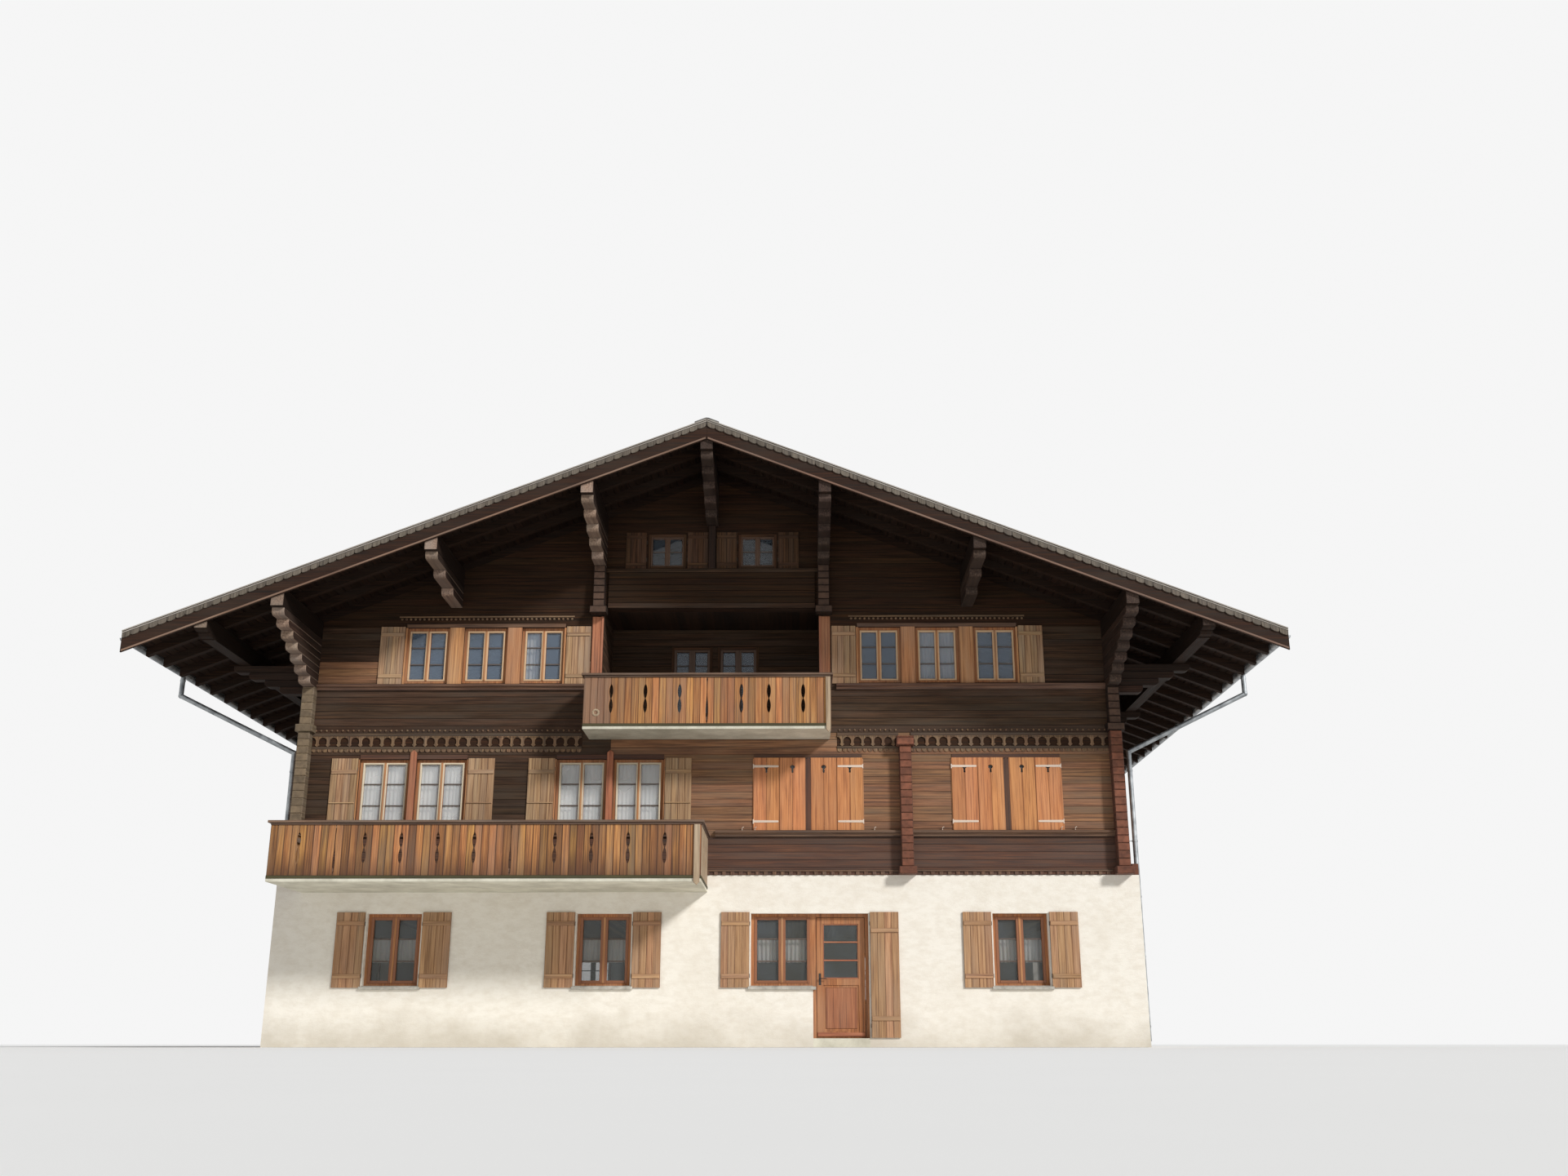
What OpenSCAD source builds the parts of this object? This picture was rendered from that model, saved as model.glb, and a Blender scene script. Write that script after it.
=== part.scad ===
// Alpine chalet: a plastered ground storey, two storeys of squared logs and an attic
// under one wide, low-pitched roof, with a recessed loggia and two timber balconies.
// X runs along the front, Y from front to back, Z up. The origin is the middle of the
// footprint at ground level, and all lengths are in millimetres.

/* [Ground storey] */
// Outside width of the plastered walls
masonry_w = 15500; // [15300:50:16400]
// Outside depth of the house
house_d = 12000; // [11500:50:13500]
// Thickness of the plastered walls
masonry_t = 400; // [380:10:450]
// Height of the plastered walls above the first floor
masonry_past_floor = 100; // [50:10:200]
// How far the window frames stand back from the plaster
masonry_reveal = 120; // [60:10:160]

/* [Floors] */
// Height of the ground floor above the ground
ground_floor_h = 150; // [120:10:200]
// Floor to floor height of the ground storey
ground_storey_h = 2700; // [2650:10:2750]
// Floor to floor height of the first storey
first_storey_h = 2700; // [2650:10:2900]
// Floor to floor height of the second storey
second_storey_h = 2620; // [2560:10:2700]
// Thickness of the upper floors
floor_t = 220; // [160:10:240]
// Gap between the attic floor and the middle purlins
attic_floor_gap = 60; // [20:10:200]

/* [Log walls] */
// Thickness of the squared log walls
log_t = 220; // [180:5:230]
// How far the log side walls stand in from the plaster
log_setback = 170; // [120:5:180]
// Height of one log course
course_h = 137; // [120:1:150]
// Height of the log side walls above the second floor
knee_h = 1810; // [1780:10:1900]
// How far the log frames stand back from the wall face
log_reveal = 40; // [20:5:80]

/* [Loggia] */
// Clear width of the loggia
loggia_w = 4100; // [3800:50:4200]
// Depth of the loggia behind the front
loggia_d = 1500; // [1200:50:1800]
// Thickness of the loggia's inner walls
loggia_t = 120; // [80:10:160]
// Distance of each loggia door from the middle
loggia_door_x = 460; // [450:10:700]
// Width of each loggia door
loggia_door_w = 820; // [760:10:860]
// Height of the loggia doors
loggia_door_h = 2050; // [1950:10:2150]

/* [Roof] */
// Pitch of the roof in degrees
pitch = 21.4; // [20:0.1:22]
// Overhang of the roof past the log side walls
eave_out = 2510; // [2300:10:2700]
// Overhang of the roof past the front and the back
verge_out = 2300; // [2000:50:2500]
// Thickness of the roof covering
cover_t = 100; // [80:5:120]
// Thickness of the roof boarding
board_t = 30; // [20:1:40]
// Height of the rafters
rafter_h = 140; // [120:5:160]
// Width of the rafters
rafter_w = 120; // [100:5:140]
// Greatest spacing of the rafters
rafter_gap = 750; // [650:10:900]
// How far the rafters stop short of the eave edge
rafter_short = 100; // [90:5:140]
// Width of a purlin
purlin_w = 220; // [180:10:240]
// Height of a purlin
purlin_h = 240; // [200:10:260]
// Distance of the attic purlins from the loggia's sides
attic_purlin_out = 80; // [60:5:200]
// Distance of the middle purlins from the ridge
mid_purlin_x = 4850; // [4700:10:5000]
// Distance of the eave purlins from the log side walls
eave_purlin_out = 1180; // [1000:10:1400]
// Height of the bargeboards
barge_h = 260; // [240:5:330]
// Thickness of the bargeboards
barge_t = 40; // [30:1:60]
// How far the covering runs past the bargeboards
barge_in = 30; // [10:5:60]
// Gap between the two slopes under the ridge cap
ridge_gap = 4; // [2:1:10]
// Width of the ridge cap on each side
ridge_cap_w = 220; // [150:10:260]
// Thickness of the ridge cap
ridge_cap_t = 25; // [15:1:40]

/* [Log ends] */
// How far the log columns stand out from the wall
column_out = 200; // [150:10:240]
// Distance of the cross wall's log ends from the middle
cross_x = 3600; // [3500:10:3700]
// How far the topmost console reaches from the wall
console_reach = 2150; // [1800:10:2200]
// Number of steps under each corner purlin
corner_steps = 7; // [5:1:8]
// Number of steps under each middle purlin
mid_steps = 3; // [2:1:4]
// Number of steps under each attic purlin
attic_steps = 5; // [4:1:6]
// Number of steps under the ridge purlin
ridge_steps = 5; // [4:1:6]
// Number of steps under each eave purlin
eave_steps = 4; // [3:1:5]
// How far the lower edge of each console log is cut back
step_cut = 70; // [20:5:90]
// Height of the foot and the cap of a log column
column_foot_h = 200; // [150:10:300]
// How far the foot and the cap stand out past the column
column_foot_out = 50; // [30:5:80]

/* [Balconies] */
// Thickness of the balcony slabs
balcony_t = 100; // [80:5:120]
// Height of the balcony boards above their slab
balcony_boards_h = 850; // [800:10:950]
// Thickness of the balcony boards
balcony_boards_t = 40; // [30:1:60]
// Width of a handrail
handrail_w = 130; // [100:5:160]
// Height of a handrail
handrail_h = 75; // [50:5:90]
// Drop of the upper balcony's slab below its floor
upper_balcony_drop = 20; // [10:5:60]
// Drop of the lower balcony's slab below its floor
lower_balcony_drop = 100; // [10:5:120]
// Width of the upper balcony
upper_balcony_w = 4450; // [4300:50:4700]
// How far the upper balcony stands out
upper_balcony_d = 950; // [800:50:1200]
// Distance of the lower balcony's right end from the middle
lower_balcony_right = 0; // [-200:10:200]
// Gap between the lower balcony's left end and the corner's log ends
lower_balcony_gap = 10; // [5:5:60]
// How far the lower balcony stands out
lower_balcony_d = 1850; // [1500:50:2000]

/* [Ground windows] */
// Width of a ground floor window
ground_win_w = 980; // [900:10:1050]
// Height of a ground floor window
ground_win_h = 1260; // [1150:10:1300]
// Height of the ground sills above the ground floor
ground_sill = 870; // [800:10:920]
// Distance of the outer ground windows from the middle
ground_outer_x = 5580; // [5450:10:5700]
// Distance of the inner ground windows from the middle
ground_inner_x = 1830; // [1750:10:1900]
// Spacing of the windows along the sides of the house
side_win_x = 3600; // [3300:50:3800]

/* [First floor windows] */
// Width of a first floor window
first_win_w = 930; // [880:5:960]
// Height of a first floor window
first_win_h = 1290; // [1200:10:1320]
// Height of the first floor sills above their floor
first_sill = 920; // [880:10:950]
// Distance of the inner window pairs from the middle
first_inner_x = 1820; // [1800:5:1850]
// Distance of the outer window pairs from the middle
first_outer_x = 5450; // [5420:5:5480]
// Width of the post between two paired windows
pair_post_w = 120; // [100:5:140]

/* [Second floor windows] */
// Width of a second floor window
second_win_w = 820; // [760:5:850]
// Height of a second floor window
second_win_h = 1080; // [1000:10:1120]
// Height of the second floor sills above their floor
second_sill = 950; // [900:10:1000]
// Distance of the window groups from the middle
second_group_x = 4260; // [4230:5:4350]
// Width of the post between two windows of a group
second_post_w = 275; // [240:5:290]
// Height of the low windows on the sides of the second floor
second_side_h = 820; // [700:10:840]
// Sill height of the low windows on the sides of the second floor
second_side_sill = 850; // [800:10:900]

/* [Attic windows] */
// Width of an attic window
attic_win_w = 740; // [700:10:780]
// Height of an attic window
attic_win_h = 710; // [650:10:740]
// Height of the attic sills above their floor
attic_sill = 580; // [540:10:620]
// Distance of the attic windows from the middle
attic_win_x = 870; // [850:5:900]

/* [Attic parapet] */
// How far the parapet boards under the attic windows stand out
parapet_out = 60; // [40:5:80]
// How far the parapet's rail stands out
parapet_rail_out = 110; // [90:5:140]
// Height of the parapet's rail
parapet_rail_h = 60; // [40:5:80]
// Width of the post between the attic windows
ridge_post_w = 140; // [100:5:145]

/* [Window parts] */
// Thickness of a window frame
frame_t = 70; // [60:5:90]
// Width of the frame members, with the sash on them
frame_b = 85; // [60:5:100]
// Width of the middle member between two sashes
mullion_w = 90; // [60:5:110]
// Thickness of a window's glass
glass_t = 12; // [8:1:20]
// Thickness of a shutter
shutter_t = 35; // [25:1:45]
// Width of an open ground floor shutter
ground_shutter_w = 510; // [460:10:520]
// Width of an open first floor shutter
first_shutter_w = 490; // [450:10:500]
// Width of an open second floor shutter
second_shutter_w = 460; // [400:10:470]
// Width of an attic shutter
attic_shutter_w = 400; // [350:5:410]
// How far the shutters run past their window, above and below
shutter_past = 20; // [10:5:30]
// Gap between the two leaves of a closed shutter
leaf_gap = 4; // [2:1:8]
// Gap between a shutter and the window beside it
shutter_gap = 25; // [15:5:40]

/* [Sills and frieze] */
// How far the sill boards stand out
sill_out = 90; // [60:5:120]
// Height of the sill boards
sill_h = 110; // [80:5:130]
// Drop of the sill boards below the windows
sill_drop = 25; // [20:5:60]
// Height of the carved frieze between the storeys
frieze_h = 400; // [300:10:420]
// Height of the frieze's lower edge below the second floor
frieze_drop = 400; // [380:10:420]
// How far the frieze stands out
frieze_out = 30; // [20:5:45]

/* [Glazed door] */
// Left end of the opening for the door and its window
door_opening_x = 790; // [750:10:820]
// Width of the window beside the door
door_win_w = 1100; // [1050:10:1150]
// Width of the doorway
doorway_w = 990; // [950:10:1020]
// Width of the door frame's members
door_frame_b = 60; // [50:5:80]
// Gap around the door leaf
door_gap = 8; // [7:1:12]
// Thickness of the door leaf
door_t = 60; // [50:1:65]
// Width of the door leaf's rails and stiles
door_rail_w = 110; // [90:5:130]
// Height of the door's lower panel
door_panel_h = 890; // [800:10:950]
// Thickness of the door's lower panel
door_panel_t = 30; // [20:1:40]

/* [Rain goods] */
// Outer radius of the gutters
gutter_r = 75; // [60:5:90]
// Wall of the gutters
gutter_wall = 6; // [4:1:10]
// Gap between the covering and the gutter's rim
gutter_gap = 15; // [10:1:25]
// Radius of the downpipes
pipe_r = 45; // [35:5:55]
// Distance of the downpipes behind the front of the house
pipe_back = 350; // [300:10:500]
// Height of the downpipes' feet above the ground
pipe_foot = 100; // [50:10:200]
// How far the elbows stand out past the pipes
elbow_out = 5; // [3:1:10]
// Height of the straight pipe under the gutter
pipe_drop = 430; // [300:10:500]
// Fall of the slanted pipe from the eave to the wall
pipe_fall = 1100; // [700:20:1300]

/* [Hidden] */
$fn = 48;

masonry_x = masonry_w / 2;
front_y = house_d / 2;
log_x = masonry_x - log_setback;
log_in_x = log_x - log_t;
eave_x = log_x + eave_out;
eave_purlin_x = log_x + eave_purlin_out;
attic_purlin_x = loggia_w / 2 + attic_purlin_out;
log_in_y = front_y - log_t;

first_floor_z = ground_floor_h + ground_storey_h;
masonry_h = first_floor_z + masonry_past_floor;
second_floor_z = first_floor_z + first_storey_h;
attic_floor_z = second_floor_z + second_storey_h;
attic_under_z = attic_floor_z - floor_t;
plate_z = second_floor_z + knee_h;

// Heights on the roof are measured plumb, so a thickness across the slope grows by 1 / cos.
tan_p = tan(pitch);
plumb = 1 / cos(pitch);
build_up = (cover_t + board_t + rafter_h) * plumb;
// Bearing gap between the roof's layers, which keeps the sloped faces just clear of each other.
seat_gap = 0.3;
ridge_z = plate_z + purlin_h + log_x * tan_p + build_up + seat_gap;
function roof_z(x) = ridge_z - abs(x) * tan_p;
function under_z(x) = roof_z(x) - build_up - seat_gap;
// Underside of the purlin whose outer edge is at x, to a whole millimetre.
function purlin_low_z(x) = round(under_z(x) - purlin_h);
verge_y = front_y + verge_out;
barge_y = verge_y - barge_in;
rafter_end_y = barge_y - barge_t;
rafter_x = eave_x - rafter_short;
// Where the underside of the rafters meets the height of the attic floor's underside.
gable_x = (under_z(0) - attic_under_z) / tan_p;
low_eave_purlin_z = purlin_low_z(eave_purlin_x + purlin_w / 2);

// A window is [middle, sill height, width, height] on its wall, seen from outside.
ground_win_z = ground_floor_h + ground_sill;
first_win_z = first_floor_z + first_sill;
second_win_z = second_floor_z + second_sill;
second_side_z = second_floor_z + second_side_sill;
attic_win_z = attic_floor_z + attic_sill;
parapet_z = attic_win_z - sill_drop;
door_x0 = door_opening_x + door_win_w;
door_x1 = door_x0 + doorway_w;
door_head_z = ground_win_z + ground_win_h;

function row(xs, z, w, h) = [for (x = xs) [x, z, w, h]];
ground_left_front = row([-ground_outer_x, -ground_inner_x], ground_win_z, ground_win_w, ground_win_h);
ground_right_front = row([ground_outer_x], ground_win_z, ground_win_w, ground_win_h);
door_window = [[door_opening_x + door_win_w / 2, ground_win_z, door_win_w, ground_win_h]];
ground_rest = row([-side_win_x, 0, side_win_x], ground_win_z, ground_win_w, ground_win_h);

pair_x = (first_win_w + pair_post_w) / 2;
first_groups = [-first_outer_x, -first_inner_x, first_inner_x, first_outer_x];
first_xs = [for (g = first_groups) for (s = [-1, 1]) g + s * pair_x];
first_front = row(first_xs, first_win_z, first_win_w, first_win_h);
first_side = row([-side_win_x, 0, side_win_x], first_win_z, first_win_w, first_win_h);
first_back = row(first_groups, first_win_z, first_win_w, first_win_h);

second_pitch_x = second_win_w + second_post_w;
second_xs = [for (k = [-1:1]) second_group_x + k * second_pitch_x];
second_right = row(second_xs, second_win_z, second_win_w, second_win_h);
second_left = row([for (x = second_xs) -x], second_win_z, second_win_w, second_win_h);
second_side = row([-side_win_x, 0, side_win_x], second_side_z, second_win_w, second_side_h);
second_back = row(first_groups, second_win_z, second_win_w, second_win_h);
attic_wins = row([-attic_win_x, attic_win_x], attic_win_z, attic_win_w, attic_win_h);
loggia_doors = row([-loggia_door_x, loggia_door_x], second_floor_z, loggia_door_w, loggia_door_h);

// The four sides as turns about Z: front, right, back and left.
FRONT = 0;
RIGHT = 90;
BACK = 180;
LEFT = 270;
// Each set is [side, distance of its wall face from the middle, frame setback, windows].
ground_sets = [
    [FRONT, front_y, masonry_reveal, concat(ground_left_front, door_window, ground_right_front)],
    [RIGHT, masonry_x, masonry_reveal, ground_rest],
    [BACK, front_y, masonry_reveal, ground_rest],
    [LEFT, masonry_x, masonry_reveal, ground_rest]
];
log_sets = [
    [FRONT, front_y, log_reveal, concat(first_front, second_left, second_right, attic_wins)],
    [RIGHT, log_x, log_reveal, concat(first_side, second_side)],
    [BACK, front_y, log_reveal, concat(first_back, second_back, attic_wins)],
    [LEFT, log_x, log_reveal, concat(first_side, second_side)],
    [FRONT, front_y - loggia_d, log_reveal / 2, loggia_doors]
];

plaster = "ivory";
old_logs = "saddlebrown";
roof_timber = "sienna";
covering = "dimgray";
concrete = "lightgray";
sun_boards = "peru";
frame_wood = "chocolate";
pane = "lightblue";
zinc = "silver";

// Carries a wall's own frame, with its face at Y = 0 and Y running inwards, to one side.
module on_side(side, face) {
    rotate([0, 0, side]) translate([0, -face, 0]) children();
}
// Runs an outline drawn in X and Z from y0 to y1.
module along_y(y0, y1) {
    translate([0, y1, 0]) rotate([90, 0, 0]) linear_extrude(height = y1 - y0) children();
}
module box_from(x0, x1, y0, y1, z0, z1) {
    translate([x0, y0, z0]) cube([x1 - x0, y1 - y0, z1 - z0]);
}
module both_sides() {
    children();
    mirror([1, 0, 0]) children();
}
module both_ends() {
    children();
    mirror([0, 1, 0]) children();
}
// Cuts the windows of a list through a wall of thickness t, in the wall's own frame.
// A door's hole starts a little below the wall.
module window_holes(list, t, below = 0) {
    for (w = list) translate([w[0] - w[2] / 2, -1, w[1] - below]) cube([w[2], t + 2, w[3] + below]);
}

// Plastered ground storey
module ground_front_wall_left() {
    color(plaster) on_side(FRONT, front_y) difference() {
        union() {
            box_from(-masonry_x, door_opening_x, 0, masonry_t, 0, masonry_h);
            box_from(door_opening_x, door_x0, 0, masonry_t, 0, ground_win_z);
        }
        window_holes(ground_left_front, masonry_t);
    }
}
module ground_front_wall_right() {
    color(plaster) on_side(FRONT, front_y) difference() {
        box_from(door_x1, masonry_x, 0, masonry_t, 0, masonry_h);
        window_holes(ground_right_front, masonry_t);
    }
}
module ground_front_lintel() {
    color(plaster) on_side(FRONT, front_y)
        box_from(door_opening_x, door_x1, 0, masonry_t, door_head_z, masonry_h);
}
module ground_side_wall(side) {
    color(plaster) on_side(side, masonry_x) difference() {
        box_from(masonry_t - front_y, front_y - masonry_t, 0, masonry_t, 0, masonry_h);
        window_holes(ground_rest, masonry_t);
    }
}
module ground_left_wall() {
    ground_side_wall(LEFT);
}
module ground_right_wall() {
    ground_side_wall(RIGHT);
}
module ground_back_wall() {
    color(plaster) on_side(BACK, front_y) difference() {
        box_from(-masonry_x, masonry_x, 0, masonry_t, 0, masonry_h);
        window_holes(ground_rest, masonry_t);
    }
}

// Floors
module floor_slab(half_x, half_y, top_z, t) {
    box_from(-half_x, half_x, -half_y, half_y, top_z - t, top_z);
}
module ground_floor() {
    color(concrete) union() {
        floor_slab(masonry_x - masonry_t, front_y - masonry_t, ground_floor_h, ground_floor_h);
        box_from(door_x0, door_x1, -front_y, masonry_t - front_y, 0, ground_floor_h);
    }
}
module first_floor() {
    color(concrete) floor_slab(masonry_x - masonry_t, front_y - masonry_t, first_floor_z, floor_t);
}
module second_floor() {
    color(concrete) floor_slab(log_in_x, log_in_y, second_floor_z, floor_t);
}
module attic_floor() {
    half_x = mid_purlin_x - purlin_w / 2 - attic_floor_gap;
    color(sun_boards) floor_slab(half_x, log_in_y, attic_floor_z, floor_t);
}

// Purlins, with their tops cut to the slope of the rafters
module purlin_outline(x0, x1) {
    low = purlin_low_z(max(abs(x0), abs(x1)));
    crown = x0 < 0 && x1 > 0 ? [[0, under_z(0)]] : [];
    polygon(concat([[x0, low], [x1, low], [x1, under_z(x1)]], crown, [[x0, under_z(x0)]]));
}
module purlin(x) {
    along_y(-rafter_end_y, rafter_end_y) purlin_outline(x - purlin_w / 2, x + purlin_w / 2);
}
module plate_purlin() {
    along_y(-rafter_end_y, rafter_end_y) purlin_outline(log_in_x, log_x);
}
module purlins() {
    color(roof_timber) {
        purlin(0);
        both_sides() purlin(attic_purlin_x);
        both_sides() purlin(mid_purlin_x);
        both_sides() plate_purlin();
        both_sides() purlin(eave_purlin_x);
    }
}

// Log walls
module log_front_wall_first() {
    color(old_logs) on_side(FRONT, front_y) difference() {
        box_from(-log_x, log_x, 0, log_t, masonry_h, second_floor_z);
        window_holes(first_front, log_t);
    }
}
module second_front_outline() {
    polygon([
        [loggia_w / 2, second_floor_z], [log_x, second_floor_z], [log_x, plate_z],
        [log_in_x, plate_z], [log_in_x, under_z(log_in_x)], [gable_x, attic_under_z],
        [loggia_w / 2, attic_under_z]
    ]);
}
module log_front_wall_second() {
    color(old_logs) both_sides() difference() {
        along_y(-front_y, -log_in_y) second_front_outline();
        on_side(FRONT, front_y) window_holes(second_right, log_t);
    }
}
module gable(side) {
    color(old_logs) on_side(side, front_y) difference() {
        along_y(0, log_t)
            polygon([[-gable_x, attic_under_z], [gable_x, attic_under_z], [0, under_z(0)]]);
        window_holes(attic_wins, log_t);
        purlin(0);
        both_sides() purlin(attic_purlin_x);
        both_sides() purlin(mid_purlin_x);
    }
}
module front_gable() {
    gable(FRONT);
}
module back_gable() {
    gable(BACK);
}
module log_side_wall(side) {
    color(old_logs) on_side(side, log_x) difference() {
        box_from(-log_in_y, log_in_y, 0, log_t, masonry_h, plate_z);
        window_holes(concat(first_side, second_side), log_t);
    }
}
module log_left_wall() {
    log_side_wall(LEFT);
}
module log_right_wall() {
    log_side_wall(RIGHT);
}
module log_back_wall() {
    color(old_logs) on_side(BACK, front_y) difference() {
        along_y(0, log_t) polygon([
            [-log_x, masonry_h], [log_x, masonry_h], [log_x, plate_z], [log_in_x, plate_z],
            [log_in_x, under_z(log_in_x)], [gable_x, attic_under_z], [-gable_x, attic_under_z],
            [-log_in_x, under_z(log_in_x)], [-log_in_x, plate_z], [-log_x, plate_z]
        ]);
        window_holes(concat(first_back, second_back), log_t);
    }
}
module loggia_walls() {
    outer = loggia_w / 2 + loggia_t;
    color(old_logs) difference() {
        union() {
            both_sides() box_from(loggia_w / 2, outer, -log_in_y, loggia_d + loggia_t - front_y,
                second_floor_z, attic_under_z);
            box_from(-outer, outer, loggia_d - front_y, loggia_d + loggia_t - front_y,
                second_floor_z, attic_under_z);
        }
        on_side(FRONT, front_y - loggia_d) window_holes(loggia_doors, loggia_t, 1);
    }
}

// Columns of log ends on the front and the back, each with a wider foot
module log_column(x, w, z0, z1, cap) {
    out = column_out + column_foot_out;
    foot = w / 2 + column_foot_out;
    union() {
        box_from(x - w / 2, x + w / 2, -column_out, 0, z0, z1);
        box_from(x - foot, x + foot, -out, 0, z0, z0 + column_foot_h);
        if (cap) box_from(x - w / 2, x + w / 2, -out, 0, z1 - column_foot_h, z1);
    }
}
module log_columns() {
    corner_x = log_x - log_t / 2;
    corner_top = plate_z - corner_steps * course_h;
    attic_top = purlin_low_z(attic_purlin_x + purlin_w / 2) - attic_steps * course_h;
    ridge_top = purlin_low_z(purlin_w / 2) - ridge_steps * course_h;
    color(old_logs) front_board(-ridge_post_w / 2, ridge_post_w / 2, parapet_rail_out, parapet_z,
        ridge_top);
    color(old_logs) both_ends() translate([0, -front_y, 0]) {
        both_sides() log_column(corner_x, log_t, masonry_h, second_floor_z, false);
        both_sides() log_column(corner_x, log_t, second_floor_z, corner_top, false);
        log_column(cross_x, log_t, masonry_h, second_floor_z - column_foot_h / 2, true);
        both_sides() log_column(attic_purlin_x, purlin_w, attic_under_z - course_h, attic_top, false);
        both_sides() box_from(log_x, masonry_x, 0, log_t, masonry_h, masonry_h + column_foot_h);
    }
}

// Stepped consoles of log ends: each course reaches further than the one under it, and the
// lower half of its tip is cut back
module stepped_console(w, top_z, steps, reach, shortest) {
    edge = [for (i = [0:steps - 1]) for (corner = [[0, 0], [0, 0.5], [step_cut, 1]])
        [corner[0] - shortest - (reach - shortest) * (steps - i) / steps,
            top_z - (i + corner[1]) * course_h]];
    translate([-w / 2, 0, 0]) rotate([90, 0, 90]) linear_extrude(height = w)
        polygon(concat([[0, top_z]], edge, [[0, top_z - steps * course_h]]));
}
module purlin_console(x, steps) {
    translate([x, 0, 0]) stepped_console(purlin_w, purlin_low_z(x + purlin_w / 2), steps,
        console_reach, column_out);
}
module consoles() {
    corner_x = log_x - log_t / 2;
    color(old_logs) both_ends() translate([0, -front_y, 0]) {
        purlin_console(0, ridge_steps);
        both_sides() purlin_console(attic_purlin_x, attic_steps);
        both_sides() purlin_console(mid_purlin_x, mid_steps);
        both_sides() translate([corner_x, 0, 0])
            stepped_console(log_t, plate_z, corner_steps, console_reach, column_out);
    }
}
module side_brackets() {
    reach = eave_purlin_out + purlin_w;
    wall_ys = [log_t / 2 - front_y, -side_win_x / 2, side_win_x / 2, front_y - log_t / 2];
    color(old_logs) both_sides() for (y = wall_ys) translate([log_x, y, 0]) rotate([0, 0, 90])
        stepped_console(log_t, low_eave_purlin_z, eave_steps, reach, column_out);
}

// Roof, with each slope stopping just short of the ridge
module slope_outline(x1, upper, lower) {
    x0 = ridge_gap / 2;
    polygon([
        [x0, roof_z(x0) - upper * plumb], [x1, roof_z(x1) - upper * plumb],
        [x1, roof_z(x1) - lower * plumb], [x0, roof_z(x0) - lower * plumb]
    ]);
}
module rafters() {
    half = rafter_end_y - rafter_w / 2;
    bays = ceil(2 * half / rafter_gap);
    top = cover_t + board_t;
    color(roof_timber) both_sides() for (i = [0:bays]) {
        y = -half + i * 2 * half / bays;
        along_y(y - rafter_w / 2, y + rafter_w / 2)
            slope_outline(rafter_x, top + seat_gap, top + rafter_h);
    }
}
module roof_boards() {
    color(roof_timber) both_sides() along_y(-rafter_end_y, rafter_end_y)
        slope_outline(rafter_x, cover_t + seat_gap, cover_t + board_t);
}
module roof_cover() {
    color(covering) both_sides() along_y(-verge_y, verge_y) slope_outline(eave_x, 0, cover_t);
}
module ridge_cap() {
    rise = ridge_cap_t * plumb;
    edge_z = roof_z(ridge_cap_w) + seat_gap;
    color(zinc) along_y(-verge_y, verge_y) polygon([
        [-ridge_cap_w, edge_z], [0, ridge_z + seat_gap], [ridge_cap_w, edge_z],
        [ridge_cap_w, edge_z + rise], [0, ridge_z + seat_gap + rise], [-ridge_cap_w, edge_z + rise]
    ]);
}
module bargeboards() {
    color(roof_timber) both_ends() both_sides() along_y(-barge_y, barge_t - barge_y)
        slope_outline(eave_x, cover_t + seat_gap, cover_t + barge_h);
}

// Gutters and downpipes
gutter_x = rafter_x + gutter_r;
gutter_z = roof_z(eave_x) - cover_t * plumb - gutter_gap;
module gutter() {
    along_y(-rafter_end_y, rafter_end_y) translate([gutter_x, gutter_z]) difference() {
        circle(r = gutter_r);
        circle(r = gutter_r - gutter_wall);
        translate([-gutter_r, 0]) square([2 * gutter_r, gutter_r]);
    }
}
module gutters() {
    color(zinc) both_sides() gutter();
}
module pipe_run(a, b) {
    run = b - a;
    tilt = acos(run[2] / norm(run));
    turn = atan2(run[1], run[0]);
    translate(a) rotate([0, tilt, turn]) cylinder(r = pipe_r, h = norm(run));
}
module downpipes() {
    y = pipe_back - front_y;
    elbow_r = pipe_r + elbow_out;
    pipe_x = masonry_x + elbow_r;
    bend_z = gutter_z - pipe_drop;
    path = [
        [gutter_x, y, gutter_z - gutter_r], [gutter_x, y, bend_z],
        [pipe_x, y, bend_z - pipe_fall], [pipe_x, y, pipe_foot]
    ];
    color(zinc) both_sides() union() {
        for (i = [0:len(path) - 2]) pipe_run(path[i], path[i + 1]);
        for (i = [1:len(path) - 2]) translate(path[i]) sphere(r = elbow_r);
    }
}

// Balconies, each with boards on three sides and a handrail on them
upper_slab_z = second_floor_z - upper_balcony_drop;
lower_slab_z = first_floor_z - lower_balcony_drop;
rail_past = (handrail_w - balcony_boards_t) / 2;
lower_balcony_left = log_in_x - max(column_foot_out, rail_past) - lower_balcony_gap;
module balcony_slab(x0, x1, d, z) {
    color(concrete) box_from(x0, x1, -front_y - d, -front_y, z - balcony_t, z);
}
module three_sided(x0, x1, d, inset, w, z0, z1) {
    y0 = -front_y - d + inset;
    difference() {
        box_from(x0 + inset, x1 - inset, y0, -front_y, z0, z1);
        box_from(x0 + inset + w, x1 - inset - w, y0 + w, -front_y + 1, z0 - 1, z1 + 1);
    }
}
module balcony_boards(x0, x1, d, z) {
    color(sun_boards) three_sided(x0, x1, d, 0, balcony_boards_t, z, z + balcony_boards_h);
}
module handrail(x0, x1, d, z) {
    top = z + balcony_boards_h;
    three_sided(x0, x1, d, -rail_past, handrail_w, top, top + handrail_h);
}
module upper_balcony_slab() {
    balcony_slab(-upper_balcony_w / 2, upper_balcony_w / 2, upper_balcony_d, upper_slab_z);
}
module upper_balcony_boards() {
    balcony_boards(-upper_balcony_w / 2, upper_balcony_w / 2, upper_balcony_d, upper_slab_z);
}
module lower_balcony_slab() {
    balcony_slab(-lower_balcony_left, lower_balcony_right, lower_balcony_d, lower_slab_z);
}
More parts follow.
